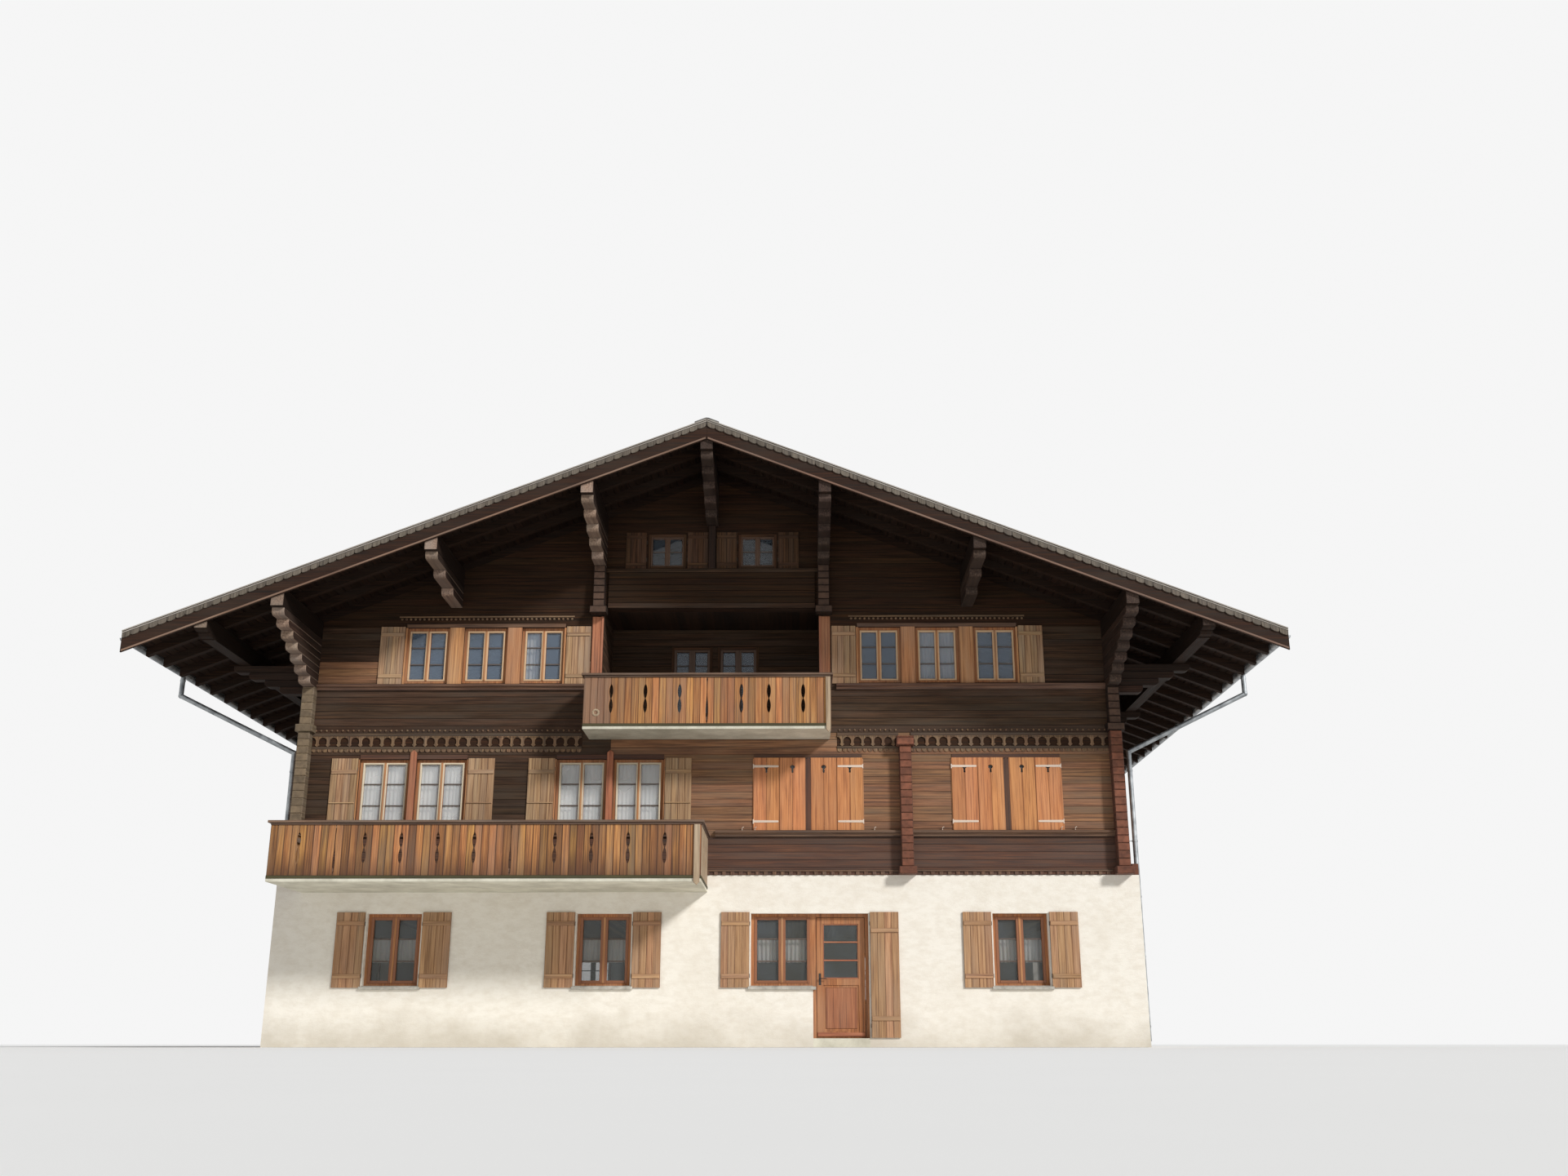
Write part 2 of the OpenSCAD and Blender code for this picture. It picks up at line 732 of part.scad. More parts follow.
module lower_balcony_boards() {
    balcony_boards(-lower_balcony_left, lower_balcony_right, lower_balcony_d, lower_slab_z);
}
module balcony_handrails() {
    color(frame_wood) {
        handrail(-upper_balcony_w / 2, upper_balcony_w / 2, upper_balcony_d, upper_slab_z);
        handrail(-lower_balcony_left, lower_balcony_right, lower_balcony_d, lower_slab_z);
    }
}

// Windows: a frame with a middle member, and a pane behind that member
module window_frame(w, h) {
    difference() {
        cube([w, frame_t, h]);
        translate([frame_b, -1, frame_b])
            cube([(w - mullion_w) / 2 - frame_b, frame_t + 2, h - 2 * frame_b]);
        translate([(w + mullion_w) / 2, -1, frame_b])
            cube([(w - mullion_w) / 2 - frame_b, frame_t + 2, h - 2 * frame_b]);
        translate([frame_b, frame_t / 2, frame_b])
            cube([w - 2 * frame_b, frame_t, h - 2 * frame_b]);
    }
}
module window_frames(sets) {
    for (s = sets) for (w = s[3])
        on_side(s[0], s[1]) translate([w[0] - w[2] / 2, s[2], w[1]]) window_frame(w[2], w[3]);
}
module ground_window_frames() {
    color(frame_wood) window_frames(ground_sets);
}
module log_window_frames() {
    color(frame_wood) window_frames(log_sets);
}
module window_glass() {
    color(pane) for (s = concat(ground_sets, log_sets)) for (w = s[3])
        on_side(s[0], s[1])
            translate([w[0] - w[2] / 2 + frame_b, s[2] + frame_t / 2, w[1] + frame_b])
                cube([w[2] - 2 * frame_b, glass_t, w[3] - 2 * frame_b]);
}

// Shutters: [middle, sill height, width, height] as for a window
module shutter_row(list) {
    for (s = list) translate([s[0] - s[2] / 2, -shutter_t, s[1] - shutter_past])
        cube([s[2], shutter_t, s[3] + 2 * shutter_past]);
}
// Open shutters on both sides of a window or a group that is w wide.
function open_pair(x, z, w, h, leaf) =
    [for (s = [-1, 1]) [x + s * (w / 2 + shutter_gap + leaf / 2), z, leaf, h]];
function pairs(list, leaf) =
    [for (w = list) each open_pair(w[0], w[1], w[2], w[3], leaf)];
module ground_shutters() {
    door_leaf_z = ground_floor_h + door_gap + shutter_past;
    door_leaf_x = door_x1 + shutter_gap + ground_shutter_w / 2;
    beside_door = [
        [door_opening_x - shutter_gap - ground_shutter_w / 2, ground_win_z, ground_shutter_w,
            ground_win_h],
        [door_leaf_x, door_leaf_z, ground_shutter_w, door_head_z - door_leaf_z]
    ];
    color(old_logs) {
        on_side(FRONT, front_y) {
            shutter_row(pairs(concat(ground_left_front, ground_right_front), ground_shutter_w));
            shutter_row(beside_door);
        }
        on_side(BACK, front_y) shutter_row(pairs(ground_rest, ground_shutter_w));
        for (side = [LEFT, RIGHT])
            on_side(side, masonry_x) shutter_row(pairs(ground_rest, ground_shutter_w));
    }
}
module log_shutters() {
    group_w = 2 * first_win_w + pair_post_w;
    second_w = 3 * second_win_w + 2 * second_post_w;
    closed_leaf = first_win_w / 2 + shutter_past / 2;
    closed_x = [for (g = [first_inner_x, first_outer_x]) for (s = [-1, 1]) for (k = [-1, 1])
        g + s * pair_x + k * (closed_leaf + leaf_gap) / 2];
    color(old_logs) {
        on_side(FRONT, front_y) {
            for (g = [-first_outer_x, -first_inner_x])
                shutter_row(open_pair(g, first_win_z, group_w, first_win_h, first_shutter_w));
            shutter_row(row(closed_x, first_win_z, closed_leaf, first_win_h));
            for (s = [-1, 1]) shutter_row(open_pair(s * second_group_x, second_win_z, second_w,
                second_win_h, second_shutter_w));
            shutter_row(pairs(attic_wins, attic_shutter_w));
        }
        on_side(BACK, front_y) {
            shutter_row(pairs(first_back, first_shutter_w));
            shutter_row(pairs(second_back, second_shutter_w));
            shutter_row(pairs(attic_wins, attic_shutter_w));
        }
        for (side = [LEFT, RIGHT]) on_side(side, log_x) {
            shutter_row(pairs(first_side, first_shutter_w));
            shutter_row(pairs(second_side, second_shutter_w));
        }
    }
}

// Sill boards under the log storeys' windows, and the frieze between the storeys
module front_board(x0, x1, out, z0, z1) {
    on_side(FRONT, front_y) box_from(x0, x1, -out, 0, z0, z1);
}
module board_past_cross_wall(x0, x1, out, z0, z1) {
    front_board(x0, cross_x - log_t / 2, out, z0, z1);
    front_board(cross_x + log_t / 2, x1, out, z0, z1);
}
module window_sills() {
    first_z = first_win_z - sill_drop;
    second_z = second_win_z - sill_drop;
    clear = handrail_w;
    color(frame_wood) {
        front_board(clear - lower_balcony_left, lower_balcony_right - clear, sill_out,
            first_z - sill_h, first_z);
        board_past_cross_wall(lower_balcony_right + clear, log_in_x, sill_out, first_z - sill_h,
            first_z);
        front_board(-log_in_x, -upper_balcony_w / 2 - clear, sill_out, second_z - sill_h, second_z);
        front_board(upper_balcony_w / 2 + clear, log_in_x, sill_out, second_z - sill_h, second_z);
    }
}
module storey_frieze() {
    z0 = second_floor_z - frieze_drop;
    clear = handrail_w;
    color(old_logs) {
        front_board(-log_in_x, -upper_balcony_w / 2 - clear, frieze_out, z0, z0 + frieze_h);
        board_past_cross_wall(upper_balcony_w / 2 + clear, log_in_x, frieze_out, z0, z0 + frieze_h);
    }
}

// Boarded parapet between the attic's log columns
module attic_parapet() {
    half = attic_purlin_x - purlin_w / 2;
    color(old_logs) union() {
        front_board(column_foot_out - half, half - column_foot_out, parapet_out, attic_under_z,
            parapet_z);
        front_board(-half, half, parapet_rail_out, parapet_z - parapet_rail_h, parapet_z);
    }
}

// Glazed door: the frame, a leaf that opens inwards on its right edge, and its glass
door_y = masonry_reveal - front_y;
leaf_x0 = door_x0 + door_frame_b + door_gap;
leaf_x1 = door_x1 - door_frame_b - door_gap;
leaf_z0 = ground_floor_h + door_gap;
leaf_z1 = door_head_z - door_frame_b - door_gap;
leaf_y1 = door_y + frame_t;
leaf_y0 = leaf_y1 - door_t;
module door_frame() {
    color(frame_wood) difference() {
        box_from(door_x0, door_x1, door_y, door_y + frame_t, ground_floor_h, door_head_z);
        box_from(door_x0 + door_frame_b, door_x1 - door_frame_b, door_y - 1, door_y + frame_t + 1,
            ground_floor_h - 1, door_head_z - door_frame_b);
    }
}
module door_leaf() {
    panel_z1 = leaf_z0 + door_panel_h;
    middle_y = (leaf_y0 + leaf_y1) / 2;
    inner_x0 = leaf_x0 + door_rail_w;
    inner_x1 = leaf_x1 - door_rail_w;
    color(frame_wood) union() {
        difference() {
            box_from(leaf_x0, leaf_x1, leaf_y0, leaf_y1, leaf_z0, leaf_z1);
            box_from(inner_x0, inner_x1, leaf_y0 - 1, leaf_y1 + 1, leaf_z0 + door_rail_w, panel_z1);
            box_from(inner_x0, inner_x1, leaf_y0 - 1, leaf_y1 + 1, panel_z1 + door_rail_w,
                leaf_z1 - door_rail_w);
        }
        box_from(inner_x0, inner_x1, middle_y - door_panel_t / 2, middle_y + door_panel_t / 2,
            leaf_z0 + door_rail_w, panel_z1);
    }
}
module door_glass() {
    middle_y = (leaf_y0 + leaf_y1) / 2;
    color(pane) box_from(leaf_x0 + door_rail_w, leaf_x1 - door_rail_w, middle_y - glass_t / 2,
        middle_y + glass_t / 2, leaf_z0 + door_panel_h + door_rail_w, leaf_z1 - door_rail_w);
}

ground_front_wall_left();
ground_front_wall_right();
ground_front_lintel();
ground_left_wall();
ground_right_wall();
ground_back_wall();
ground_floor();
first_floor();
second_floor();
attic_floor();
log_front_wall_first();
log_front_wall_second();
front_gable();
log_left_wall();
log_right_wall();
log_back_wall();
back_gable();
loggia_walls();
log_columns();
consoles();
side_brackets();
purlins();
rafters();
roof_boards();
roof_cover();
ridge_cap();
bargeboards();
gutters();
downpipes();
upper_balcony_slab();
upper_balcony_boards();
lower_balcony_slab();
lower_balcony_boards();
balcony_handrails();
ground_window_frames();
log_window_frames();
window_glass();
ground_shutters();
log_shutters();
window_sills();
storey_frieze();
attic_parapet();
door_frame();
door_leaf();
door_glass();
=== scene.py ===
"""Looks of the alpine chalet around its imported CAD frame. Lengths are in metres, Z is up, and the
front faces -Y. Walls are described as seen from outside: u to the right, out from the middle, z up."""

import math
import random
from collections import namedtuple
from functools import partial

import bmesh
import bpy
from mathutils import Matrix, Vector


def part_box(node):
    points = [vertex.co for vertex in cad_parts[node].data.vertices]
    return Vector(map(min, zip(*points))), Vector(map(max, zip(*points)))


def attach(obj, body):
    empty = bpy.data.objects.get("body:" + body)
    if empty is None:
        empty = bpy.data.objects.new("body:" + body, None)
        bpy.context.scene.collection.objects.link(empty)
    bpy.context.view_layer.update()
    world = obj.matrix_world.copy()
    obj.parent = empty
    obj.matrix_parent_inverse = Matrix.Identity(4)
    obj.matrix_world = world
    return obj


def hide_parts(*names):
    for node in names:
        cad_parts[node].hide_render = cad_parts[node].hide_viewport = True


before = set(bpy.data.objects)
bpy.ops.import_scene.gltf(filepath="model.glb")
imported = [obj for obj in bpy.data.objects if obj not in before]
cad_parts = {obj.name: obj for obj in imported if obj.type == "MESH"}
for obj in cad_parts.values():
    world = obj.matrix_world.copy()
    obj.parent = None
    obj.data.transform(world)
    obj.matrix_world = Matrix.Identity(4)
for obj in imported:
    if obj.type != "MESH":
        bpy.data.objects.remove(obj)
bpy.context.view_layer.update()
draw = random.Random(11)

# Driving sizes, shared with the CAD model
COURSE = 0.137
LOG_W = 0.22
PITCH = math.radians(21.4)
SLOPE = math.tan(PITCH)
PLUMB = 1 / math.cos(PITCH)
COVER_T = 0.10
BOARDING_T = 0.03
RAFTER_H = 0.14
PURLIN_W = 0.22
PURLIN_H = 0.24
BARGE_H = 0.26
GUTTER_R = 0.075
PIPE_R = 0.05
COLUMN_OUT = 0.20
FOOT_OUT = 0.05
FOOT_H = 0.20
LOGGIA_T = 0.12
FRAME_B = 0.085
FRAME_T = 0.07
MASONRY_REVEAL = 0.12
LOG_REVEAL = 0.04
RAIL_PAST = 0.045
RAIL_H = 0.075
# Thin work that only the looks have
FACE_T = 0.010
JOINT = 0.006

FRONT, RIGHT, BACK, LEFT = range(4)
SIDES = ("front", "right", "back", "left")
UPPER = ("first", "second", "attic")


def at(side, u, out, z):
    """A point given on one side of the house, in the row frame."""
    return (Vector((u, -out, z)), Vector((out, u, z)), Vector((-u, out, z)), Vector((-out, -u, z)))[side]


def on_face(side, out):
    """The place of a slab that lies flat on a wall, with its back at out."""
    return lambda s, t, d: at(side, s, out + d, t)


def forward(side, near, far):
    """A stretch along a side wall, between two distances towards the front."""
    return (near, far) if side == LEFT else (-far, -near)


def wall_box(side, low, high):
    """A box's limits on one side of the house: u0, u1, out0, out1, z0, z1."""
    limits = (
        (low.x, high.x, -high.y, -low.y),
        (low.y, high.y, low.x, high.x),
        (-high.x, -low.x, low.y, high.y),
        (-high.y, -low.y, -high.x, -low.x),
    )[side]
    return (*limits, low.z, high.z)


def solids(node):
    """The boxes of the separate solids of a CAD node, from left to right."""
    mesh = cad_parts[node].data
    keys = [tuple(round(c, 4) for c in v.co) for v in mesh.vertices]
    parent = {key: key for key in keys}

    def root(key):
        while parent[key] != key:
            parent[key] = parent[parent[key]]
            key = parent[key]
        return key

    for face in mesh.polygons:
        first = root(keys[face.vertices[0]])
        for v in face.vertices[1:]:
            parent[root(keys[v])] = first
    groups = {}
    for key in set(keys):
        groups.setdefault(root(key), []).append(key)
    boxes = [
        (Vector(map(min, zip(*group))), Vector(map(max, zip(*group)))) for group in groups.values()
    ]
    return sorted(boxes, key=lambda b: tuple(b[0]) + tuple(b[1]))


def middles(node, axis):
    """Where the solids of a CAD node have their middles along one axis, each place once."""
    return sorted({round((low[axis] + high[axis]) / 2, 3) for low, high in solids(node)})


def on_walls(node):
    """Each thin solid of a CAD node with the side of the house it lies on."""
    found = []
    for low, high in solids(node):
        middle = (low + high) / 2
        if high.y - low.y < high.x - low.x:
            side = FRONT if middle.y < 0 else BACK
        else:
            side = RIGHT if middle.x > 0 else LEFT
        found.append((side, wall_box(side, low, high)))
    return found


# Places read from the frame
front_y = -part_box("log_front_wall_first")[0].y
log_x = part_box("log_right_wall")[1].x
plaster_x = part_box("ground_right_wall")[1].x
wood_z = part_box("log_front_wall_first")[0].z
second_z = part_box("log_front_wall_first")[1].z
plate_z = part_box("log_right_wall")[1].z
attic_under_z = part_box("attic_floor")[0].z
loggia_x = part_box("loggia_walls")[1].x - LOGGIA_T
eave_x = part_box("roof_cover")[1].x
verge_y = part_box("roof_cover")[1].y
ridge_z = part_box("roof_cover")[1].z
rafter_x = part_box("rafters")[1].x
soffit_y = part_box("roof_boards")[1].y
barge_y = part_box("bargeboards")[1].y
gutter_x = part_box("gutters")[1].x - GUTTER_R
purlin_xs = middles("purlins", 0)
ridge_x, attic_x, slope_x, corner_x, eave_purlin_x = purlin_xs[4:]
cross_x = middles("log_columns", 0)[-2]
bracket_ys = middles("side_brackets", 1)
pipe_y = middles("downpipes", 1)[0]
console_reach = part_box("consoles")[1].y - front_y
bracket_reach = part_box("side_brackets")[1].x - log_x


def roof_z(x, down=0.0):
    """Height of the roof over x, or of a layer that lies down below it, measured square to it."""
    return ridge_z - abs(x) * SLOPE - down * PLUMB


def rafters_under(x):
    return roof_z(x, COVER_T + BOARDING_T + RAFTER_H)


def purlin_under(x):
    """Underside of the purlin in the middle of x."""
    return round(rafters_under(abs(x) + PURLIN_W / 2) - PURLIN_H, 3)


class Window(namedtuple("Window", "side left right z0 z1 face storey")):
    """A window or glazed door with its frame. face is how far out the frame stands."""

    @property
    def u(self):
        return (self.left + self.right) / 2


def storey_at(z):
    """The storey whose windows and shutters start at a height."""
    limits = (wood_z, second_z - 0.5, attic_under_z)
    return ("ground", "first", "second", "attic")[sum(z >= limit for limit in limits)]


def read_windows():
    """Every window and glazed loggia door, from its pane."""
    found = []
    for side, (u0, u1, out0, out1, z0, z1) in on_walls("window_glass"):
        z0 -= FRAME_B
        in_loggia = side == FRONT and out1 < front_y - 1
        storey = "loggia" if in_loggia else storey_at(z0)
        found.append(Window(side, u0 - FRAME_B, u1 + FRAME_B, z0, z1 + FRAME_B, out1 + FRAME_T / 2, storey))
    return found


windows = read_windows()


def front_windows(storey):
    """The front's windows of a storey, from left to right."""
    return sorted((w for w in windows if w.side == FRONT and w.storey == storey), key=lambda w: w.u)


# Shapes


def inset(outline, by):
    """A counter-clockwise outline moved inwards, for the chamfer of an arris."""
    moved = []
    for i, (x, y) in enumerate(outline):
        px, py = outline[i - 1]
        nx, ny = outline[(i + 1) % len(outline)]
        a = Vector((py - y, x - px)).normalized()
        b = Vector((y - ny, nx - x)).normalized()
        mitre = (a + b) / max(0.4, 1 + a.dot(b))
        moved.append((x + by * mitre.x, y + by * mitre.y))
    return moved


def counter_clockwise(outline):
    area = sum(a[0] * b[1] - b[0] * a[1] for a, b in zip(outline, outline[1:] + outline[:1]))
    return list(outline) if area > 0 else list(reversed(outline))


def arc(cx, cy, rx, ry, start, end, steps):
    """Points on an ellipse, between two angles in degrees."""
    turns = [math.radians(start + (end - start) * i / steps) for i in range(steps + 1)]
    return [(cx + rx * math.cos(t), cy + ry * math.sin(t)) for t in turns]


def skin(rings, count, closed=False):
    """Faces between rings of count points, which are numbered ring by ring."""
    faces = []
    for ring in range(rings if closed else rings - 1):
        start, after = ring * count, (ring + 1) % rings * count
        for i in range(count):
            j = (i + 1) % count
            faces.append([start + i, start + j, after + j, after + i])
    return faces


def capped(rings, count):
    """The same with a face over the first ring and over the last."""
    last = (rings - 1) * count
    return [list(range(count))[::-1], list(range(last, last + count))] + skin(rings, count)


class Piece:
    """Gathers closed solids into one mesh. Each solid keeps its own grain coordinates, with X along
    the grain, and a board value: its tone, and how far across the board a point lies."""

    def __init__(self):
        self.points = []
        self.grain = []
        self.board = []
        self.faces = []
        self.slots = []

    def solid(self, points, faces, grain, across=None, slots=None, tone=None):
        start = len(self.points)
        shift = Vector([draw.uniform(-40, 40) for _ in range(3)])
        tone = draw.random() if tone is None else tone
        self.points += [tuple(p) for p in points]
        self.grain += [tuple(Vector(g) + shift) for g in grain]
        self.board += [(tone, a, 0.0) for a in across or [0.0] * len(points)]
        self.faces += [[start + i for i in face] for face in faces]
        self.slots += slots or [0] * len(faces)

    def slab(self, outline, place, depth, chamfer=0.0, both=False, along=1, tone=None, front=0):
        """An outline made depth thick, from place(s, t, 0) to place(s, t, depth). along is the grain's
        axis in the outline, front the slot of its face, and both eases the arrises of its back too."""
        outline = counter_clockwise(outline)
        inner = inset(outline, chamfer) if chamfer else outline
        rings = [(outline, 0.0), (outline, depth - chamfer)]
        if chamfer:
            rings.append((inner, depth))
            if both:
                rings = [(inner, 0.0), (outline, chamfer)] + rings[1:]
        flat = [(s, t, d) for ring, d in rings for s, t in ring]
        order = ((0, 1, 2), (1, 0, 2), (2, 0, 1))[along]
        grain = [tuple(p[i] for i in order) for p in flat]
        low, high = (f([g[1] for g in grain]) for f in (min, max))
        across = [(2 * g[1] - low - high) / max(high - low, 1e-6) for g in grain]
        faces = capped(len(rings), len(outline))
        back = front if along == 2 or both else 0
        slots = [back, front] + [0] * (len(faces) - 2)
        self.solid([place(*p) for p in flat], faces, grain, across, slots, tone)

    def board_on(self, side, u0, u1, z0, z1, out0, out1, chamfer=0.003, along=1, tone=None, front=0):
        """A plain board on a wall. along 0 runs its grain along the wall, 1 upwards, 2 outwards."""
        self.slab([(u0, z0), (u1, z0), (u1, z1), (u0, z1)], on_face(side, out0), out1 - out0, chamfer,
                  along=along, tone=tone, front=front)

    def rail_on(self, side, u0, u1, z0, z1, out0, out1, chamfer=0.003, tone=None):
        """A board on a wall with its grain along the wall."""
        self.board_on(side, u0, u1, z0, z1, out0, out1, chamfer, 0, tone)

    def surround(self, side, u0, u1, z0, z1, width, out0, out1, chamfer, back=0.001, tone=None):
        """Two uprights with two rails between them, which stand back a little."""
        for a, b in ((u0, u0 + width), (u1 - width, u1)):
            self.board_on(side, a, b, z0, z1, out0, out1, chamfer, tone=tone)
        for a, b in ((z0, z0 + width), (z1 - width, z1)):
            self.rail_on(side, u0 + width, u1 - width, a, b, out0, out1 - back, chamfer, tone)

    def run(self, side, left, right, profile, tone=None, slot=0):
        """A moulding along a wall, with its profile in out and z. left and right are places along the
        wall, or functions of the height where an end is cut to a slope."""
        heights = [z for _, z in profile]
        middle = (max(heights) + min(heights)) / 2
        half = (max(heights) - min(heights)) / 2
        points, grain, across = [], [], []
        for end in (left, right):
            for out, z in profile:
                u = end(z) if callable(end) else end
                points.append(at(side, u, out, z))
                grain.append((u, z - middle, out))
                across.append((z - middle) / half)
        faces = capped(2, len(profile))
        self.solid(points, faces, grain, across, [slot] * len(faces), tone)

    def turned(self, centre, axis, profile, sides=16):
        """A ring or knob turned about an axis, with its profile in radius and height. A closed
        profile is a ring's; one that starts and ends at radius 0 is a knob's."""
        turn = Vector(axis).to_track_quat("Z", "Y")
        points, grain = [], []
        for k in range(sides):
            angle = 2 * math.pi * k / sides
            for radius, height in profile:
                spot = Vector((radius * math.cos(angle), radius * math.sin(angle), height))
                points.append(Vector(centre) + turn @ spot)
                grain.append((height, spot.x, spot.y))
        self.solid(points, skin(sides, len(profile), closed=True), grain)

    def rod(self, path, radius, sides=8):
        """A round bar along the points of path."""
        path = [Vector(p) for p in path]
        points, grain = [], []
        length = 0.0
        for i, spot in enumerate(path):
            ahead = path[min(i + 1, len(path) - 1)] - path[max(i - 1, 0)]
            turn = ahead.to_track_quat("Z", "Y")
            length += (spot - path[i - 1]).length if i else 0.0
            for k in range(sides):
                angle = 2 * math.pi * k / sides
                ring = Vector((radius * math.cos(angle), radius * math.sin(angle), 0))
                points.append(spot + turn @ ring)
                grain.append((length, ring.x, ring.y))
        self.solid(points, capped(len(path), sides), grain)

    def make(self, name, finishes, slot, body="house", replaces=(), rounded=False):
        """Turns the gathered solids into a piece that rides on a body."""
        mesh = bpy.data.meshes.new(name)
        mesh.from_pydata(self.points, [], self.faces)
        for key, values in (("grain", self.grain), ("board", self.board)):
            layer = mesh.attributes.new(key, "FLOAT_VECTOR", "POINT")
            layer.data.foreach_set("vector", [c for v in values for c in v])
        for finish in finishes:
            mesh.materials.append(finish)
        mesh.polygons.foreach_set("material_index", self.slots)
        work = bmesh.new()
        work.from_mesh(mesh)
        if rounded:
            bmesh.ops.remove_doubles(work, verts=work.verts, dist=1e-6)
        bmesh.ops.recalc_face_normals(work, faces=work.faces)
        work.to_mesh(mesh)
        work.free()
        if rounded:
            mesh.shade_smooth()
            mesh.set_sharp_from_angle(angle=math.radians(35))
        made = bpy.data.objects.new(name, mesh)
        bpy.context.scene.collection.objects.link(made)
        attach(made, body)
        if replaces:
            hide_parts(*replaces)
        return made


# Finishes

# Period of a wave texture at scale 1
WAVE = 0.314
# Thread and ring spacings as they are drawn
THREADS = 0.006
RINGS = 0.012


def linear(value):
    """An sRGB hex colour as linear RGBA."""
    parts = [int(value[i:i + 2], 16) / 255 for i in (1, 3, 5)]
    return [c / 12.92 if c <= 0.04045 else ((c + 0.055) / 1.055) ** 2.4 for c in parts] + [1.0]


def per_mm(size):
    """A texture's scale, in marks to a metre, from the size of a mark in millimetres."""
    return 1000 / size


def add_node(tree, kind, inputs=(), stops=None, out=0, **settings):
    """Adds a node with its settings, its ramp's stops and its inputs, and gives back one output, or
    all where out is None. An input is a number, a hex colour or another output. They come by name or
    number, or in order."""
    made = tree.nodes.new("ShaderNode" + kind)
    for key, value in settings.items():
        setattr(made, key, value)
    if stops:
        ramp = made.color_ramp
        ramp.elements[0].position = stops[0][0]
        ramp.elements[-1].position = stops[-1][0]
        for place, _ in stops[1:-1]:
            ramp.elements.new(place)
        for element, (_, colour) in zip(ramp.elements, stops):
            element.color = linear(colour)
    for key, value in inputs.items() if isinstance(inputs, dict) else enumerate(inputs):
        if isinstance(value, bpy.types.NodeSocket):
            tree.links.new(value, made.inputs[key])
        else:
            made.inputs[key].default_value = linear(value) if isinstance(value, str) else value
    return made.outputs if out is None else made.outputs[out]


def new_finish(name):
    """A material, and the function that adds nodes to it."""
    finish = bpy.data.materials.new(name)
    finish.use_nodes = True
    finish.node_tree.nodes.clear()
    return finish, partial(add_node, finish.node_tree)


def surfaced(finish, add, relief, strength, depth, values):
    """Ends a finish with its bump, depth millimetres deep, its shader and its output."""
    bump = add("Bump", {"Height": relief, "Strength": strength, "Distance": depth / 1000})
    shader = add("BsdfPrincipled", {"Normal": bump, **values})
    add("OutputMaterial", (shader,), out=None)
    return finish


def grain_place(add, along):
    """Coordinates with X along the grain: each solid's own, or the frame's for a CAD node."""
    if along is None:
        return add("Attribute", out="Vector", attribute_name="grain")
    turn = {"X": (0, 0, 0), "Y": (0, 0, -math.pi / 2), "Z": (0, math.pi / 2, 0)}[along]
    return add("Mapping", {"Vector": add("TexCoord", out="Object"), "Rotation": turn})


def timber(name, dark, mid, light, grey, along=None, streak=28, greying=0.6, spread=0.3, arris=0.5,
           turn=(0.497, 0.508), gloss=0.5, foot=None):
    """Sawn softwood left to the weather. Streaks run along the grain, each board has its own tone,
    drifts of grey lie where rain reaches, and dirt gathers along the joints. Smoked wood has little
    gloss, and rain splashes boards that have a foot dark for some way up from it."""
    finish, add = new_finish(name)
    place = grain_place(add, along)
    long = add("Mapping", {"Vector": place, "Scale": (per_mm(900), per_mm(streak), per_mm(streak))})
    streaks = add("TexNoise", {"Vector": long, "Scale": 1.0, "Detail": 6.0, "Roughness": 0.62})
    colour = add("ValToRGB", (streaks,), [(0.3, dark), (0.5, mid), (0.72, light)])
    # Drifts are about 1.4 m long and 0.3 m wide
    drift = add("Mapping", {"Vector": place, "Scale": (0.7, 3.2, 3.2)})
    drifts = add("TexNoise", {"Vector": drift, "Scale": 1.0, "Detail": 4.0})
    greyed = add("MapRange", (drifts, 0.42, 0.72, 0.0, greying))
    colour = add("Mix", {0: greyed, 6: colour, 7: grey}, out=2, data_type="RGBA")
    if along is None:
        board = add("Attribute", out="Vector", attribute_name="board")
        tone, across, _ = add("SeparateXYZ", (board,), out=None)
        value = add("MapRange", (tone, 0.0, 1.0, 1 - spread, 1 + spread))
        # A second number for each board, drawn from its tone
        other = add("Math", (add("Math", (tone, 7.3), operation="MULTIPLY"),), operation="FRACT")
        shift = add("MapRange", (other, 0.0, 1.0, *turn))
        colour = add("HueSaturation", {"Color": colour, "Value": value, "Hue": shift})
        edge = add("Math", (across,), operation="ABSOLUTE")
        dirt = add("MapRange", (edge, 0.78, 1.0, 0.0, arris))
        colour = add("Mix", {0: dirt, 6: colour, 7: dark}, out=2, data_type="RGBA")
    if foot is not None:
        height = add("SeparateXYZ", (add("TexCoord", out="Object"),), out=2)
        splash = add("MapRange", (add("Math", (height, drifts)), foot + 0.45, foot + 0.85, 0.75, 0.0))
        colour = add("Mix", {0: splash, 6: colour, 7: dark}, out=2, data_type="RGBA")
    fine = add("Mapping", {"Vector": place, "Scale": (per_mm(300), per_mm(6), per_mm(6))})
    cracks = add("TexNoise", {"Vector": fine, "Scale": 1.0, "Detail": 3.0})
    relief = add("Mix", {0: 0.5, 6: streaks, 7: cracks}, out=2, data_type="RGBA")
    roughness = add("MapRange", (streaks, 0.3, 0.7, 0.66, 0.9))
    return surfaced(finish, add, relief, 0.5, 4, {
        "Base Color": colour, "Roughness": roughness, "IOR": 1.5, "Specular IOR Level": gloss})


